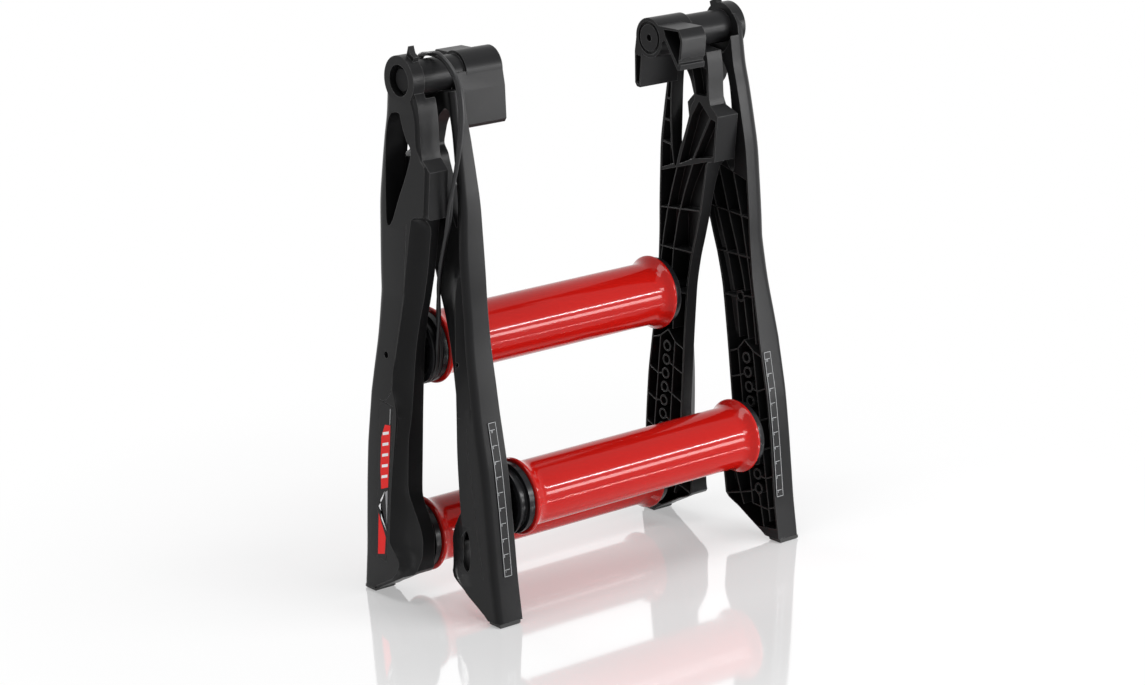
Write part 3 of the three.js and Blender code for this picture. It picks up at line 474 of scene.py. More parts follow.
# Least distance between corners of a section, and shares of the way towards the ridge in height and depth
CORNER_GAP = 1.4
SCOOP_MIDDLE = (0.35, 0.55)
FOOT_MIDDLE = (0.4, 0.5)
SLOPE_STEPS = 5
SLOPE_BEND = 1.5
HEAD_ROUND = 18.0
OUTER_ROUND = 9.0
INNER_ROUND = 4.5
ROUND_STEPS = 8


def straight(rows, place):
    if place <= rows[0][0]:
        return rows[0][1]
    for (a, low), (b, high) in zip(rows, rows[1:]):
        if place <= b:
            return low + (high - low) * (place - a) / (b - a)
    return rows[-1][1]


def curved(rows, place):
    # monotone cubic through the rows, so that it never swings past them
    if place <= rows[0][0]:
        return rows[0][1]
    if place >= rows[-1][0]:
        return rows[-1][1]
    slopes = [(b[1] - a[1]) / (b[0] - a[0]) for a, b in zip(rows, rows[1:])]
    i = next(k for k in range(len(rows) - 1) if place <= rows[k + 1][0])

    def tangent(k):
        if k == 0 or k == len(rows) - 1:
            return slopes[min(k, len(slopes) - 1)]
        before, after = slopes[k - 1], slopes[k]
        return 0.0 if before * after <= 0 else 2 * before * after / (before + after)

    width = rows[i + 1][0] - rows[i][0]
    t = (place - rows[i][0]) / width
    a, b = rows[i][1], rows[i + 1][1]
    return (
        (2 * t ** 3 - 3 * t ** 2 + 1) * a + (t ** 3 - 2 * t ** 2 + t) * width * tangent(i)
        + (-2 * t ** 3 + 3 * t ** 2) * b + (t ** 3 - t ** 2) * width * tangent(i + 1)
    )


def outward(h):
    return ARM_DEPTH * curved(OUTWARD, h / ARM_LENGTH)


def inward(h):
    return ARM_DEPTH * curved(INWARD, h / ARM_LENGTH)


def thickness(h):
    growth = straight(GROWTH, h / ARM_LENGTH)
    return OUTER_HEAD + (ARM_THICKNESS - OUTER_HEAD) * growth


def outer_side(h):
    # thickness, radius of the outward edge, then the outer side as [height over the face, depth]
    place = h / ARM_LENGTH
    thick = thickness(h)
    radius = HEAD_ROUND + (OUTER_ROUND - HEAD_ROUND) * straight(GROWTH, place)
    slope = ARM_THICKNESS * curved(SLOPE, place)
    low = inward(h)
    start = max(ARM_DEPTH * curved(SLOPE_START, place), low + CORNER_GAP)
    points = []
    for step in range(SLOPE_STEPS + 1):
        share = step / SLOPE_STEPS
        fall = slope * math.sin(share * math.pi / 2)
        points.append((thick - fall, start + (low - start) * share ** SLOPE_BEND))
    return thick, radius, points


def inner_side(h):
    # the same for an inner arm, whose outer side has a scoop, a ridge and a slope
    place = h / ARM_LENGTH

    def thick(rows):
        return ARM_THICKNESS * curved(rows, place)

    def towards_ridge(corner, shares):
        return tuple(a + (b - a) * share for a, b, share in zip(corner, ridge_corner, shares))

    low = inward(h)
    foot = max(ARM_DEPTH * curved(SLOPE_FOOT, place), low + CORNER_GAP)
    ridge = max(ARM_DEPTH * curved(RIDGE_PLACE, place), foot + CORNER_GAP)
    scoop = max(ARM_DEPTH * curved(SCOOP_PLACE, place), ridge + CORNER_GAP)
    scoop_corner = (thick(SCOOP_THICKNESS), scoop)
    ridge_corner = (thick(RIDGE_THICKNESS), ridge)
    foot_corner = (thick(INWARD_THICKNESS), foot)
    shape = [
        scoop_corner,
        towards_ridge(scoop_corner, SCOOP_MIDDLE),
        ridge_corner,
        towards_ridge(foot_corner, FOOT_MIDDLE),
        foot_corner,
        (foot_corner[0], low),
    ]
    near = thick(EDGE_THICKNESS)
    return near, INNER_ROUND + INNER_ROUND * near / ARM_THICKNESS, shape


# How far below the face a ring of the cells starts, its least height, and the least way between its points
CELL_START = 4.0
CELL_LEAST = 3.0
CELL_APART = 0.05
SAME_STATION = 0.01


def ring_at(face, h, side_at, inset=0.0):
    # section of an arm at one length; with an inset it is the section of the cells inside
    thick, radius, shape = side_at(h)
    low, high = inward(h), outward(h)
    near = face - CELL_START if inset else face
    outline = [(near, low), (near, high)]
    for step in range(ROUND_STEPS + 1):
        angle = step / ROUND_STEPS * math.pi / 2
        outline.append((
            face + thick - radius + radius * math.sin(angle),
            high - radius + radius * math.cos(angle),
        ))
    outline += [(face + tall, edge) for tall, edge in shape]
    if inset:
        outline = shrunk(outline, face, low + inset, high - inset, inset)
    # the toe's end lies level on the floor
    slant = math.tan(LEAN) if h >= TOE * ARM_LENGTH - SAME_STATION else 0.0
    return [(x, d, h + slant * d) for x, d in outline]


def shrunk(outline, face, low, high, inset):
    # the same ring moved inwards by the wall, its points kept in order from outward to inward
    first = [(outline[0][0], low), (outline[1][0], high)]
    rest = [(max(face + CELL_LEAST, x - inset), min(max(d, low), high)) for x, d in outline[2:]]
    for i in range(1, len(rest)):
        rest[i] = (rest[i][0], min(rest[i][1], rest[i - 1][1] - CELL_APART))
    last = len(rest) - 1
    for i in range(last, -1, -1):
        rest[i] = (rest[i][0], max(rest[i][1], low + CELL_APART * (last - i)))
    return first + rest


# Steps along an arm, and the corners that get steps of their own
STATION = 5.0
CORNER_CLEAR = 1.5
CORNERS = [0.127, 0.143, 0.231, 0.236, 0.854, 0.91]


def stations(top, bottom, step=STATION):
    count = max(2, round((bottom - top) / step))
    return [top + (bottom - top) * i / count for i in range(count + 1)]


def sharpened(top, bottom):
    # even stations, with close pairs where the shoulder and the foot have corners
    corners = [share * ARM_LENGTH for share in CORNERS]
    places = [h for h in stations(top, bottom) if all(abs(h - c) > CORNER_CLEAR for c in corners)]
    return sorted(places + corners)


# Ribs inside the open inner side of an arm, in millimetres [depth, length] from the hinge line

INWARD_REACH = -12
OUTWARD_REACH = 20
RIB_DROP = 5


def socket_ribs():
    # between the sockets, to either side of their row by turns
    ribs = []
    for i in range(1, SOCKETS):
        h = FIRST_SOCKET + SOCKET_PITCH * i
        reach = INWARD_REACH if i % 2 else OUTWARD_REACH
        ribs.append([(SOCKET_OFFSET, h), (reach, h + RIB_DROP)])
    return ribs


LONG_RIBS = {
    "inner": [
        [(8, 190), (16, 226), (22, 256), (26, 290), (28.5, 330), (30, 356)],
        [(-24, 175), (-12, 214), (-1.5, 256), (4, 300), (5, 352)],
    ],
    "outer": [
        [(-14, 180), (-4, 240), (6, 290), (13, 330), (15, 352)],
        [(-36, 200), (-22, 260), (-12, 310), (-7, 352)],
        [(14, 190), (22, 250), (26, 310), (28, 356)],
    ],
}
SHARED_RIBS = [
    [(45, 204), (-62, 160)],
    [(45, 255), (-45, 236)],
    [(45, 309), (-40, 297)],
    [(40, 361), (12, 359)],
    [(-4, 361), (-40, 357)],
    [(-4, 364), (-5, 416)],
    [(11, 364), (13, 418)],
    [(28, 356), (27, 424)],
    [(4, 420), (20, 434), (42, 444)],
    [(4, 420), (-12, 433), (-40, 440)],
    [(19, 433), (20, 560), (21, 668)],
    [(-11, 432), (-12, 560), (-11, 646)],
    *socket_ribs(),
    [(20, 489), (48, 480)],
    [(20, 529), (48, 521)],
    [(20, 569), (48, 560)],
    [(20, 609), (48, 600)],
    [(-12, 469), (-45, 476)],
    [(-12, 509), (-45, 517)],
    [(-12, 549), (-45, 556)],
    [(-12, 589), (-70, 598)],
    [(-12, 630), (-75, 640)],
    [(-40, 560), (-42, 600), (-30, 650)],
    [(4, 630), (9, 700)],
    [(21, 650), (50, 645)],
    [(-11, 646), (21, 652)],
]


def ribbon(line, half):
    # outline of a strip along a line
    points = [Vector(p) for p in line]
    left, right = [], []
    for i, point in enumerate(points):
        before = points[max(0, i - 1)]
        after = points[min(len(points) - 1, i + 1)]
        along = (after - before).normalized()
        across = Vector((-along.y, along.x)) * half
        left.append(tuple(point + across))
        right.append(tuple(point - across))
    return left + right[::-1]


# Where the cells start and end, and the outline that closes them off from the head
CELLS_TOP = 158.0
CELLS_BOTTOM = 0.968 * ARM_LENGTH
CELL_STATION = 6.0
HEAD_LID = [(-120, 90), (90, 90), (90, 222.3), (-120, 136.6)]


def hollow(side, face, side_at, kind):
    # the cells of the open side, less what stays: the head, the ribs and a boss round each socket
    low, high = face - CELL_OVER, face + CELL_FAR
    rings = [ring_at(face, h, side_at, WALL) for h in stations(CELLS_TOP, CELLS_BOTTOM, CELL_STATION)]
    steps = [cut(prism("lid", side, HEAD_LID, low, high))]
    for line in SHARED_RIBS + LONG_RIBS[kind]:
        steps.append(cut(prism("rib", side, ribbon(line, RIB_HALF), low, high)))
    for h in socket_places():
        steps.append(cut(rod("boss", side, BOSS_RADIUS, low, high, SOCKET_OFFSET, h, HOLE_SIDES)))
    return combine(loft("cells", side, rings), steps)


def socket_places():
    return [HIGH_SOCKET] + [FIRST_SOCKET + SOCKET_PITCH * i for i in range(SOCKETS)]


def scaled(rows):
    return [(d * ARM_DEPTH, h * ARM_LENGTH) for d, h in rows]


# Seams in the outer sides, and the notch where the inner arm's seam starts
SEAM_HALF = 0.55
SEAM_DEPTH = 0.9
SEAM_STEP = 8.0
OUTER_SEAM = [(-24, 178), (-23, 277), (-16, 342), (-11, 407), (9, 431)]
INNER_SEAM = [(13, 437), (11, 484), (12, 548), (12.5, 636)]
SEAM_NOTCH = [(-4, 429), (6, 430), (13, 438)]


def groove(side, face, path, top_at):
    # narrow cut that follows the outer side; the path is [depth, length] and runs downwards
    rings = []
    for i, (d, h) in enumerate(path):
        before, after = path[max(0, i - 1)], path[min(len(path) - 1, i + 1)]
        lean = (after[0] - before[0]) / (after[1] - before[1])
        reach = SEAM_HALF * math.sqrt(1 + lean * lean)
        top = face + top_at(h)
        bottom, over = top - SEAM_DEPTH, top + SEAM_OVER
        low, high = d - reach, d + reach
        rings.append([(bottom, low, h), (bottom, high, h), (over, high, h), (over, low, h)])
    return loft("groove", side, rings)


def spread(path):
    # the same path with points at even steps
    points = []
    for (d, h), (d2, h2) in zip(path, path[1:]):
        count = max(1, round((h2 - h) / SEAM_STEP))
        points += [(d + (d2 - d) * i / count, h + (h2 - h) * i / count) for i in range(count)]
    return points + [path[-1]]


def sockets(side, face):
    # blind holes for the axle ends, and the hole of the tie screw behind the high one
    ends = (face - OVER, face + SOCKET_DEPTH)
    holes = [rod("socket", side, SOCKET_RADIUS, *ends, SOCKET_OFFSET, h, HOLE_SIDES) for h in socket_places()]
    ends = (face + TIE_HOLE_START, face + FAR)
    holes.append(rod("tie", side, TIE_HOLE, *ends, SOCKET_OFFSET, HIGH_SOCKET, HOLE_SIDES))
    return [cut(hole) for hole in holes]


# Shapes of the arms' own parts: [share of depth, share of length]
EAR_PEAK = [(-0.02, -0.038), (-0.077, -0.0624), (-0.14, -0.05), (-0.25, -0.046), (-0.2, -0.02)]
PANEL = [(-0.24, 0.605), (0.14, 0.605), (0.11, 0.915), (-0.19, 0.915)]


def outer_arm(side=1):
    face = OUTER_FACE
    outside = face + ARM_THICKNESS
    ear_outer = face + OUTER_HEAD
    ear_inner = ear_outer - EAR_THICKNESS
    places = sharpened(HEAD_TOP * ARM_LENGTH, TOE * ARM_LENGTH)
    base = loft("outer_arm", side, [ring_at(face, h, outer_side) for h in places])
    steps = [
        join(rod("ear", side, EAR_RADIUS, ear_inner, ear_outer, sides=FINE_SIDES)),
        cut(rod("clear", side, HEAD_CLEAR, face - OVER, ear_inner, sides=FINE_SIDES)),
        join(prism("peak", side, scaled(EAR_PEAK), ear_inner, ear_inner + EAR_THICKNESS / 2)),
        cut(prism("window", side, rounded(scaled(OUTER_WINDOW)), face - OVER, ear_outer + OVER)),
        cut(rod("bore", side, EAR_BORE, ear_inner + EAR_WEB, ear_outer + OVER, sides=FINE_SIDES)),
        cut(rod("pin_hole", side, PIN_HOLE, face, ear_outer)),
        cut(hollow(side, face, outer_side, "outer")),
        cut(groove(side, face, spread(OUTER_SEAM), thickness)),
        cut(prism("recess", side, panel_outline(RECESS_CLEAR), outside - RECESS_DEPTH, face + FAR)),
    ]
    return combine(base, steps + sockets(side, face))


def panel_outline(grow):
    # the panel's outline, larger all round
    directions = [(-1, -1), (1, -1), (1, 1), (-1, 1)]
    return [(d + out * grow, h + down * grow) for (d, h), (out, down) in zip(scaled(PANEL), directions)]


STOP_PLATE = [(0.17, 0.0), (0.36, 0.0), (0.383, 0.034), (0.32, 0.094), (0.26, 0.1), (0.17, 0.1)]
PLATE_HOLLOW = [(0.2, 0.04), (0.35, 0.04), (0.29, 0.092), (0.2, 0.096)]
CLAW = [
    (-0.2, -0.0286), (-0.81, -0.0357), (-0.886, -0.0286), (GROUND, -0.017), (GROUND, 0.017),
    (-0.9, 0.02), (-0.9, 0.0257), (GROUND, 0.0286), (GROUND, 0.0386), (-0.857, 0.04), (-0.44, -0.008),
    (-0.28, 0.006),
]
CLAW_HOLLOW = [(-0.4, -0.026), (-0.81, -0.032), (-0.9, -0.015), (-0.87, 0.032), (-0.46, -0.014)]
HEAD_CELLS = [
    [(0.437, 0.1), (0.505, 0.1), (0.523, 0.142), (0.426, 0.142)],
    [(0.423, 0.1455), (0.53, 0.1455), (0.552, 0.1845), (0.392, 0.1845)],
    [(0.388, 0.188), (0.556, 0.188), (0.58, 0.229), (0.325, 0.229)],
    [(0.32, 0.2325), (0.58, 0.2325), (0.55, 0.283), (0.215, 0.266)],
    [
        (-0.4, 0.126), (-0.22, 0.158), (-0.12, 0.194), (-0.01, 0.234), (0.05, 0.262), (-0.32, 0.241),
        (-0.72, 0.149),
    ],
    [(-0.76, 0.151), (-0.37, 0.24), (-0.8, 0.2265), (-0.9, 0.222), (-0.9, 0.153)],
    [(-0.1, 0.058), (-0.24, 0.094), (-0.3, 0.116), (-0.61, 0.112), (-0.55, 0.06)],
]
SLOT_STEPS = 4
FOOT_SLOT = [
    (-0.17, 0.822), (-0.11, 0.832), (-0.11, 0.862), (-0.2, 0.893), (-0.3, 0.9), (-0.38, 0.888),
    (-0.36, 0.865), (-0.26, 0.832),
]


def inner_arm(side=-1):
    face = INNER_FACE
    outside = face + ARM_THICKNESS
    barrel_inner = BARREL_END + BARREL_LENGTH
    plate_end = BARREL_END + PLATE_WIDTH
    claw_end = BARREL_END + CLAW_WIDTH
    neck_end = OUTER_FACE + OUTER_HEAD - EAR_THICKNESS - GAP
    places = sharpened(INNER_TOP, TOE * ARM_LENGTH)
    base = loft("inner_arm", side, [ring_at(face, h, inner_side) for h in places])
    steps = [
        join(prism("plate", side, scaled(STOP_PLATE), BARREL_END, plate_end)),
        join(prism("claw", side, scaled(CLAW), BARREL_END, claw_end)),
        join(rod("barrel", side, BARREL_RADIUS, BARREL_END, barrel_inner, sides=FINE_SIDES)),
        join(rod("neck", side, NECK_RADIUS, barrel_inner - OVER, neck_end, sides=FINE_SIDES)),
        cut(prism("window", side, rounded(scaled(INNER_WINDOW)), face - OVER, outside)),
    ]
    for cell in HEAD_CELLS:
        steps.append(cut(prism("cell", side, scaled(cell), face - OVER, face + INNER_HEAD - WALL)))
    steps += [
        cut(prism("claw_hollow", side, scaled(CLAW_HOLLOW), BARREL_END - OVER, claw_end - PLATE_WALL)),
        cut(prism("plate_hollow", side, scaled(PLATE_HOLLOW), BARREL_END - OVER, plate_end - PLATE_WALL)),
        cut(end_ring(side)),
        cut(rod("pin_hole", side, PIN_HOLE, BARREL_END + PIN_HOLE_START, neck_end + OVER)),
        cut(rod("screw_hole", side, SCREW_HOLE, BARREL_END, BARREL_END + SCREW_HOLE_DEPTH)),
        cut(rod("screw_recess", side, SCREW_RECESS, BARREL_END - OVER, BARREL_END + SCREW_RECESS_DEPTH)),
        cut(hollow(side, face, inner_side, "inner")),
        cut(prism("slot", side, rounded(scaled(FOOT_SLOT), SLOT_STEPS), outside - SLOT_DEPTH, face + FAR)),
        cut(groove(side, face, spread(INNER_SEAM), lambda _: ARM_THICKNESS)),
        cut(prism("notch", side, ribbon(SEAM_NOTCH, SEAM_HALF), outside - SEAM_DEPTH, face + FAR)),
    ]
    return combine(base, steps + sockets(side, face))


# Ring-shaped groove in the free end of the barrel
RING_INNER = 17.5
RING_OUTER = 21.5
RING_DEPTH = 3.0
RING_OVER = 4.0
RING_SIDES = 72


def end_ring(side):
    start, end = BARREL_END - RING_OVER, BARREL_END + RING_DEPTH
    profile = [(RING_INNER, start), (RING_OUTER, start), (RING_OUTER, end), (RING_INNER, end)]
    return turned("end_ring", [(r, side * x) for r, x in profile], RING_SIDES, Matrix.Identity(4))


ARMS = [
    ("front", "left", "inner"), ("front", "right", "outer"),
    ("rear", "right", "inner"), ("rear", "left", "outer"),
]
ARM_SMOOTH = 32.0
RIM_NEAR = 0.0002
RIM_FACING = 0.99


def arms():
    made = {"outer": outer_arm(), "inner": inner_arm()}
    for kind, face in (("outer", OUTER_FACE), ("inner", INNER_FACE)):
        smooth(made[kind], ARM_SMOOTH)
        pick_rims(made[kind], face)
    for name, side, kind in ARMS:
        mesh = made[kind].copy()
        mesh.transform(metres(PLACES[name]))
        thing = add_object(f"{name}_arm_{side}_shell", mesh)
        dress(thing, "arm_plastic")
        # second slot: the painted highlight on the rib and wall edges
        thing.data.materials.append(LOOKS["rib_edge_highlight"])
        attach(thing, f"{name}_frame")
        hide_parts(f"{name}_arm_{side}")


def pick_rims(mesh, face):
    # the edges of ribs and walls, which lie in the plane of the open side, take the second material, a light
    # grey copy of the black plastic that paints their highlight
    for polygon in mesh.polygons:
        near = abs(abs(polygon.center.x) - face * MM) < RIM_NEAR
        polygon.material_index = int(near and abs(polygon.normal.x) > RIM_FACING)


# Drums, pulleys and end caps, with rounded lips: [radius, place along X]

DRUM_RADIUS = 42.0
DRUM_INSIDE = 40.0
DRUM_SIDES = 128
DRUM_SMOOTH = 40.0
FLANGE_RISE = 8.0
FLARE_LENGTH = 25.0
FLARE = [
    (0.0, 0.75), (0.02, 0.86), (0.05, 0.94), (0.09, 0.99), (0.13, 1.0), (0.18, 0.97), (0.26, 0.82),
    (0.36, 0.6), (0.48, 0.37), (0.6, 0.2), (0.74, 0.08), (0.88, 0.02), (1.0, 0.0),
]
CAP_RADIUS = 46.0
CAP_RIM = 10.0
CAP_WALL = 3.0
CAP_WEB_INSET = 5.0
CAP_SIDES = 96
CAP_SMOOTH = 30.0
LIP = 0.4
SPIGOT_RADIUS = 39.7
SPIGOT_LENGTH = 14.0
GROOVE_MIDDLE = 15.0
GROOVE_HALF = 5.9
GROOVE_RIM = 2.6
GROOVE_FLOOR = 40.3
GROOVE_SIDE = [(CAP_RADIUS, GROOVE_HALF), (44.6, 5.5), (40.9, 5.3), (GROOVE_FLOOR, 4.7)]
HUB_RADIUS = 17.0
HUB_END = 23.5
HUB_LIP = 0.6
HUB_BORE = 10.2
BEARING_SEAT = 13.3
BEARING_INSET = 0.6
BEARING_WIDTH = 8.0


def drum_profile():
    flare = [(DRUM_RADIUS + FLANGE_RISE * rise, FLARE_LENGTH * place) for place, rise in FLARE]
    low = [(radius, DRUM_START + place) for radius, place in flare]
    high = [(radius, DRUM_END - place) for radius, place in reversed(flare)]
    return [(DRUM_INSIDE, DRUM_START), *low, *high, (DRUM_INSIDE, DRUM_END)]


def cap_profile(is_pulley):
    # from the drum's end outwards: the spigot in the drum, the rim with its groove, the web and the hub
    rim, floor, groove_sides = CAP_RIM, CAP_RADIUS, []
    if is_pulley:
        rim, floor = GROOVE_MIDDLE + GROOVE_HALF + GROOVE_RIM, GROOVE_FLOOR
        groove_sides = [(radius, GROOVE_MIDDLE - half) for radius, half in GROOVE_SIDE]
        groove_sides += [(radius, GROOVE_MIDDLE + half) for radius, half in reversed(GROOVE_SIDE)]
    inside = floor - CAP_WALL
    web = rim - CAP_WEB_INSET
    seat = HUB_END - BEARING_INSET - BEARING_WIDTH - GAP
    back = min(web - CAP_WALL, seat) - CAP_WALL
    spigot_bore = SPIGOT_RADIUS - CAP_WALL
    return [
        (spigot_bore, -SPIGOT_LENGTH), (SPIGOT_RADIUS, -SPIGOT_LENGTH), (SPIGOT_RADIUS, GAP),
        (CAP_RADIUS - 2 * LIP, GAP), (CAP_RADIUS, GAP + 2 * LIP), *groove_sides,
        (CAP_RADIUS, rim - 3 * LIP), (CAP_RADIUS - LIP, rim - LIP), (CAP_RADIUS - 3 * LIP, rim),
        (inside + 2 * LIP, rim), (inside, rim - 2 * LIP), (inside, web),
        (HUB_RADIUS, web), (HUB_RADIUS, HUB_END - HUB_LIP), (HUB_RADIUS - HUB_LIP, HUB_END),
        (BEARING_SEAT, HUB_END), (BEARING_SEAT, seat), (HUB_BORE, seat), (HUB_BORE, back),
        (spigot_bore, back),
    ]


def drums():
    for name, (carrier, h) in DRUMS.items():
        seat = PLACES[carrier] @ Matrix.Translation((0, -SOCKET_OFFSET, -h))
        body = f"{name}_drum"
        mesh = turned(body, drum_profile(), DRUM_SIDES, seat)
        smooth(mesh, DRUM_SMOOTH)
        finish_piece(add_object(f"{body}_turned", mesh), "drum_red", body, body)
        pulley_side = -1 if carrier == "front" else 1
        for side, end in ((-1, -DRUM_START), (1, DRUM_END)):
            node = f"{name}_pulley" if side == pulley_side else f"{name}_end_cap"
            profile = [(radius, side * (end + x)) for radius, x in cap_profile(side == pulley_side)]
            mesh = turned(node, profile, CAP_SIDES, seat)
            smooth(mesh, CAP_SMOOTH)
            finish_piece(add_object(f"{node}_turned", mesh), "cap_plastic", body, node)


def finish_piece(thing, look, body, node=None):
    dress(thing, look)
    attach(thing, body)
    if node:
        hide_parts(node)


# Printed marks: flat shapes just above a surface

def marks(name, look, carrier, shapes, lay):
    # lay turns each place [across, down] of a shape into a point of the frame that carries the marks
    points, faces = [], []
    for shape in shapes:
        faces.append(tuple(range(len(points), len(points) + len(shape))))
        points += [lay(a, b) for a, b in shape]
    mesh = mesh_from(name, points, faces, PLACES[carrier])
    finish_piece(add_object(name, mesh), look, f"{carrier}_frame")


def bar(a, b, a2, b2):
    return [(a, b), (a2, b), (a2, b2), (a, b2)]


DIGITS = {
    "0": "abcdef", "1": "bc", "2": "abged", "3": "abgcd", "4": "fgbc", "5": "afgcd", "6": "afgedc",
    "7": "abc", "8": "abcdefg", "9": "abcdfg",
}


def digit(text, x, h, width=1.5, height=2.6, pen=0.35, space=0.7):
    # seven-stroke figures, x to the right and h downwards
    low, mid = h + height, h + height / 2
    strokes = {
        "a": (x, h, x + width, h + pen), "b": (x + width - pen, h, x + width, mid + pen),
        "c": (x + width - pen, mid, x + width, low), "d": (x, low - pen, x + width, low),
        "e": (x, mid, x + pen, low), "f": (x, h, x + pen, mid + pen), "g": (x, mid, x + width, mid + pen),
    }
    shapes = []
    for i, figure in enumerate(text):
        shift = i * (width + space)
        for stroke in DIGITS[figure]:
            left, top, right, bottom = strokes[stroke]
            shapes.append(bar(left + shift, top, right + shift, bottom))
    return shapes


INNER_RULER = 15.5
OUTER_RULER = 8.5
RULERS = [("left", -1, INNER_FACE + INNER_RULER), ("right", 1, OUTER_FACE + OUTER_RULER)]
RULER_HALF = 5.6
RULER_OVER = 9.0
RULER_STEP = 6.0
BORDER = 0.5
TICK_WIDTH = 0.55
TICK_LEFT = 1.2
TICK_RIGHT = 2.4
FIGURE_LEFT = 1.3
FIGURE_DOWN = 1.1
PRINT_CLEAR = 0.35


def rulers():
    first, last = FIRST_SOCKET - RULER_OVER, LAST_SOCKET + RULER_OVER
    steps = stations(first, last, RULER_STEP)

    def lay(x, h):
        return (x, -(outward(h) + GAP + LABEL_THICKNESS + PRINT_CLEAR), -h)

    for name, side, middle in RULERS:
        left, right = side * middle - RULER_HALF, side * middle + RULER_HALF
        shapes = []
        for step, after in zip(steps, steps[1:]):
            shapes += [bar(left, step, left + BORDER, after), bar(right - BORDER, step, right, after)]
        shapes += [bar(left, first, right, first + BORDER), bar(left, last - BORDER, right, last)]
        for i in range(SOCKETS):
            h = FIRST_SOCKET + SOCKET_PITCH * i
            shapes.append(bar(left + TICK_LEFT, h, right - TICK_RIGHT, h + TICK_WIDTH))
            shapes += digit(str(SOCKETS - i), left + FIGURE_LEFT, h + FIGURE_DOWN)
        marks(f"ruler_print_{name}", "print", "front", shapes, lay)


# Plain marks of the rear left panel: [depth, length]
RED_MARKS = [
    [(5, 473), (-2, 453), (-14, 450), (-14, 479), (-13, 536), (2, 544), (5, 517)],
    [(6, 579), (-11, 607), (-10, 631), (5, 637)],
]
WHITE_MARKS = [
    [(-6, 544), (3, 560), (0, 585), (-13, 598), (-5, 579), (6.5, 570), (-2, 556)],
    bar(-13, 427.5, -12.4, 449),
    *[[(-11, h), (2, h + 6), (2, h + 10), (-11, h + 4)] for h in range(459, 520, 15)],
]
GREY_MARKS = [[(-12, 541), (-7, 545), (-11, 575), (-13, 590)]]
INK_CLEAR = 0.06
INK_LAYER = 0.02


def graphic():
    # layers of ink on the panel; the rear frame is turned half round, so that its outer arm is on the left
    seat = OUTER_FACE + ARM_THICKNESS - RECESS_DEPTH + GAP + LABEL_THICKNESS + INK_CLEAR
    layers = [("red", RED_MARKS, 0), ("white", WHITE_MARKS, 2), ("grey", GREY_MARKS, 1)]
    for colour, shapes, layer in layers:

        def lay(d, h):
            return (seat + INK_LAYER * layer, -d, -h)

        marks(f"graphic_{colour}", f"print_{colour}", "rear", shapes, lay)


# Belt: the same route as the solid's, [towards the rear, up] from the hinge line, then the place across
# in half spacings of its two turns

BELT_ROUTE = [
    (-4, -306, 1), (0, -332, 1), (4, -354, 1), (7.5, -374, 1), (17, -388, 1), (31.5, -397.8, 1),
    (48.5, -401.2, 1), (65.5, -397.8, 1), (80, -388, 1), (89.8, -373, 1), (93, -355, 1), (90, -298, 1),
    (80, -228, 0.6), (71, -158, 0), (64.5, -107, -0.4), (54, -70, -0.8), (43, -38, -1), (30, -8, -1),
    (25, 10.5, -1), (14, 24, -1), (-5, 26, -1), (-26, 22, -1), (-42, 12, -0.6), (-56, -3, 0),
    (-65, -26, 0.9), (-68, -52, 1.9), (-67, -80, 2.9), (-62, -110, 3.7), (-54, -142, 4.1), (-48, -172, 4),
    (-34, -204, 3.6), (-17, -240, 2.2), (-3, -272, 0.3), (5, -296, -0.8), (7, -316, -1), (4, -335, -1),
    (4, -356, -1), (7.8, -373.6, -1), (17.3, -388, -1), (31.5, -397.8, -1), (48.5, -401.2, -1),
    (65.5, -397.8, -1), (80, -388, -1), (89.8, -373, -1), (93, -355, -1), (88, -296, -1), (74, -228, -0.6),
    (64, -158, 0), (57.5, -107, 0.4), (48, -70, 0.8), (39, -36, 1), (29.5, -6, 1), (25, 10.5, 1),
    (14, 24, 1), (-3, 28, 1), (-24, 31, 1), (-42, 24, 1.3), (-60, 12, 1.8), (-73, -8, 2.4), (-79, -36, 3.2),
    (-79, -62, 4.2), (-75, -90, 5.2), (-67, -122, 6), (-57, -152, 6.4), (-48, -186, 6.2), (-29, -226, 4.6),
    (-12, -262, 2.6), (-6, -288, 1.4),
]
BELT_STEPS = 8
BELT_SIDES = 16
BELT_SMOOTH = 80.0


def belt_path():
    spacing = (BELT_DIAMETER + BELT_GAP) / 2
    lane = -(DRUM_END + GROOVE_MIDDLE)
    route = [Vector((lane - spacing * share, HINGE_Y + back, PIVOT_Z + up)) for back, up, share in BELT_ROUTE]
    path = []
    for i in range(len(route)):
        a, b, c, d = (route[(i + k) % len(route)] for k in (-1, 0, 1, 2))
        path += [between(a, b, c, d, s / BELT_STEPS) for s in range(BELT_STEPS)]
    return path


def belt():
    path = belt_path()
    radius = BELT_DIAMETER / 2
    points, faces = [], []
    for i, centre in enumerate(path):
        along = (path[(i + 1) % len(path)] - path[i - 1]).normalized()
        first = (Vector((1, 0, 0)) - along * along.x).normalized()
        second = along.cross(first)
        for k in range(BELT_SIDES):
            angle = 2 * math.pi * k / BELT_SIDES
            points.append(tuple(centre + radius * (math.cos(angle) * first + math.sin(angle) * second)))
    for i in range(len(path)):
        here, after = i * BELT_SIDES, (i + 1) % len(path) * BELT_SIDES
        for k in range(BELT_SIDES):
            j = (k + 1) % BELT_SIDES
            faces.append((here + k, here + j, after + j, after + k))
    mesh = mesh_from("belt", points, faces)
    smooth(mesh, BELT_SMOOTH)
    finish_piece(add_object("drive_belt_cord", mesh), "belt", "rear_frame", "drive_belt")


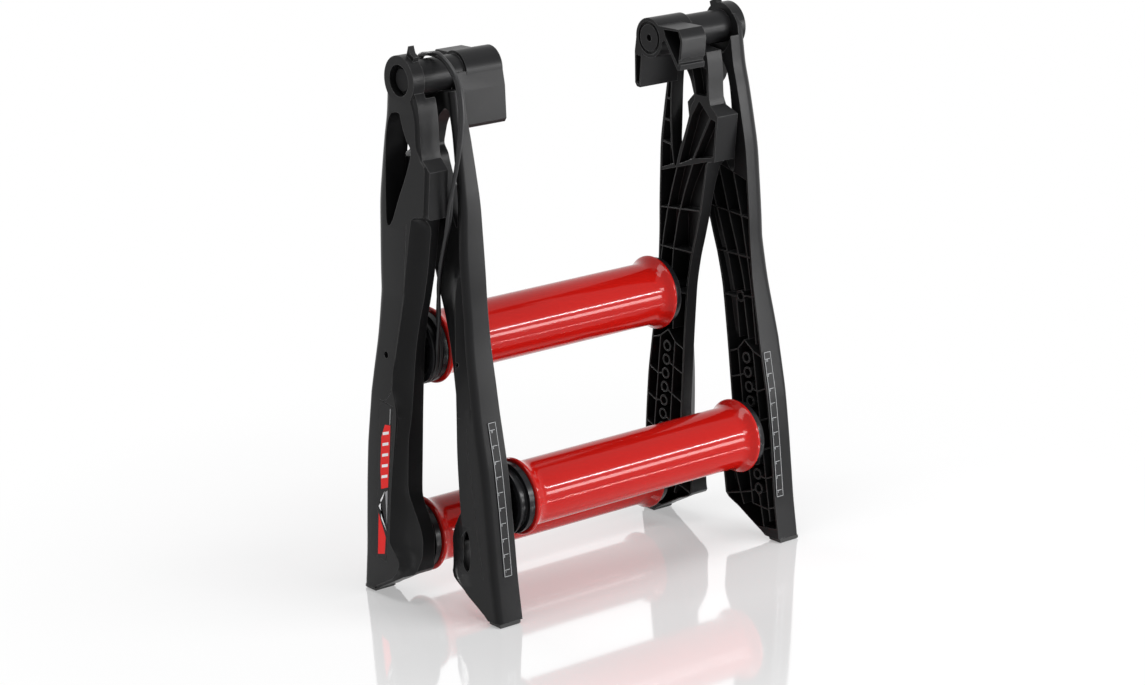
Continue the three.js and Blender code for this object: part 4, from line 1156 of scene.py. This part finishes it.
def between(a, b, c, d, t):
    # centripetal curve through four points, from b to c
    ta = 0.0
    tb = ta + (b - a).length ** 0.5
    tc = tb + (c - b).length ** 0.5
    td = tc + (d - c).length ** 0.5
    at = tb + (tc - tb) * t
    p = (tb - at) / (tb - ta) * a + (at - ta) / (tb - ta) * b
    q = (tc - at) / (tc - tb) * b + (at - tb) / (tc - tb) * c
    r = (td - at) / (td - tc) * c + (at - tc) / (td - tc) * d
    u = (tc - at) / (tc - ta) * p + (at - ta) / (tc - ta) * q
    v = (td - at) / (td - tb) * q + (at - tb) / (td - tb) * r
    return (tc - at) / (tc - tb) * u + (at - tb) / (tc - tb) * v


# Floor, backdrop and lamps

FLOOR_HALF = 9000.0
FLOOR_DROP = 0.2
FLOOR_COLOUR = (0.93, 0.93, 0.935, 1)
FLOOR_GLOSS = 0.44
FLOOR_PATCHES = 3.0
FLOOR_ROUGHNESS = {"To Min": 0.05, "To Max": 0.09}
FLOOR_FADE = {"From Min": 0.3, "From Max": 0.95, "To Min": 0.32}
ROOM_LIGHT = 0.24


def mixed(nodes, links, share, first, second):
    # shader between two others; the share of the second is a number or a socket
    mix = nodes.new("ShaderNodeMixShader")
    if isinstance(share, float):
        mix.inputs["Fac"].default_value = share
    else:
        links.new(share, mix.inputs["Fac"])
    links.new(first, mix.inputs[1])
    links.new(second, mix.inputs[2])
    return mix.outputs["Shader"]


def stage():
    signs = [(-1, -1), (1, -1), (1, 1), (-1, 1)]
    corners = [(x * FLOOR_HALF, y * FLOOR_HALF, -FLOOR_DROP) for x, y in signs]
    floor = add_object("floor", mesh_from("floor", corners, [(0, 1, 2, 3)]))
    floor.data.materials.append(floor_material())


def floor_material():
    # satin near the object, where it mirrors the toes, and fading to the plain white of the backdrop
    material = bpy.data.materials.new("white_floor")
    material.use_nodes = True
    nodes, links = material.node_tree.nodes, material.node_tree.links
    nodes.clear()
    out = nodes.new("ShaderNodeOutputMaterial")
    matt = new_node(nodes, "ShaderNodeBsdfDiffuse", {"Color": FLOOR_COLOUR})
    gloss = new_node(nodes, "ShaderNodeBsdfGlossy", {"Color": WHITE})
    noise = new_node(nodes, "ShaderNodeTexNoise", {"Scale": FLOOR_PATCHES})
    rough = new_node(nodes, "ShaderNodeMapRange", FLOOR_ROUGHNESS)
    links.new(noise.outputs["Fac"], rough.inputs["Value"])
    links.new(rough.outputs["Result"], gloss.inputs["Roughness"])
    surface = mixed(nodes, links, FLOOR_GLOSS, matt.outputs["BSDF"], gloss.outputs["BSDF"])
    white = new_node(nodes, "ShaderNodeEmission", {"Color": WHITE})
    place = nodes.new("ShaderNodeTexCoord")
    away = new_node(nodes, "ShaderNodeVectorMath", operation="LENGTH")
    links.new(place.outputs["Object"], away.inputs[0])
    fade = new_node(nodes, "ShaderNodeMapRange", FLOOR_FADE, interpolation_type="SMOOTHSTEP")
    links.new(away.outputs["Value"], fade.inputs["Value"])
    shown = new_node(nodes, "ShaderNodeMath", operation="MULTIPLY")
    links.new(fade.outputs["Result"], shown.inputs[0])
    links.new(seen_directly(nodes, links), shown.inputs[1])
    both = mixed(nodes, links, shown.outputs["Value"], surface, white.outputs["Emission"])
    links.new(both, out.inputs["Surface"])
    return material


def seen_directly(nodes, links):
    # 1 for what the camera sees, also in a mirror or through glass
    rays = nodes.new("ShaderNodeLightPath")
    total = rays.outputs["Is Camera Ray"]
    for kind in ("Is Glossy Ray", "Is Transmission Ray"):
        either = new_node(nodes, "ShaderNodeMath", operation="MAXIMUM")
        links.new(total, either.inputs[0])
        links.new(rays.outputs[kind], either.inputs[1])
        total = either.outputs["Value"]
    return total


def backdrop():
    # white to look at, and a weaker even light on the object
    world = bpy.data.worlds.new("studio")
    bpy.context.scene.world = world
    world.use_nodes = True
    nodes, links = world.node_tree.nodes, world.node_tree.links
    nodes.clear()
    out = nodes.new("ShaderNodeOutputWorld")
    seen = new_node(nodes, "ShaderNodeBackground", {"Color": WHITE, "Strength": 1.0})
    room = new_node(nodes, "ShaderNodeBackground", {"Color": WHITE, "Strength": ROOM_LIGHT})
    direct = seen_directly(nodes, links)
    both = mixed(nodes, links, direct, room.outputs["Background"], seen.outputs["Background"])
    links.new(both, out.inputs["Surface"])


def lamp(name, place, aim, width, height, power):
    data = bpy.data.lights.new(name, "AREA")
    data.shape = "RECTANGLE"
    data.size, data.size_y = width, height
    data.energy = power
    thing = bpy.data.objects.new(name, data)
    thing.location = place
    thing.rotation_euler = (Vector(aim) - Vector(place)).to_track_quat("-Z", "Y").to_euler()
    bpy.context.collection.objects.link(thing)


# name, place, aim, width and height in metres, watts
LAMPS = [
    ("overhead", (-0.3, -0.4, 3.0), (0, 0, 0.2), 2.2, 1.0, 44),
    ("front_right", (1.53, -2.05, 0.92), (0, -0.05, 0.3), 1.5, 0.08, 40),
    ("front_low", (1.75, -2.35, 0.22), (0, 0, 0.35), 1.0, 0.4, 24),
    ("back", (-0.4, 3.2, 1.6), (0, 0, 0.35), 1.6, 0.5, 26),
    ("left", (-3.0, 0.9, 1.2), (0, 0, 0.4), 0.25, 1.8, 12),
    ("front", (0.9, -3.0, 1.5), (0, 0, 0.4), 1.3, 0.4, 26),
]


def lights():
    for row in LAMPS:
        lamp(*row)


def kept_nodes():
    slots = {part["node"]: part["material_slot"] for part in frame["record"]["subparts"]}
    for name, thing in frame["nodes"].items():
        dress(thing, slots[name])


camera()
kept_nodes()
arms()
drums()
rulers()
graphic()
belt()
stage()
backdrop()
lights()

bpy.context.scene.view_settings.view_transform = "Standard"
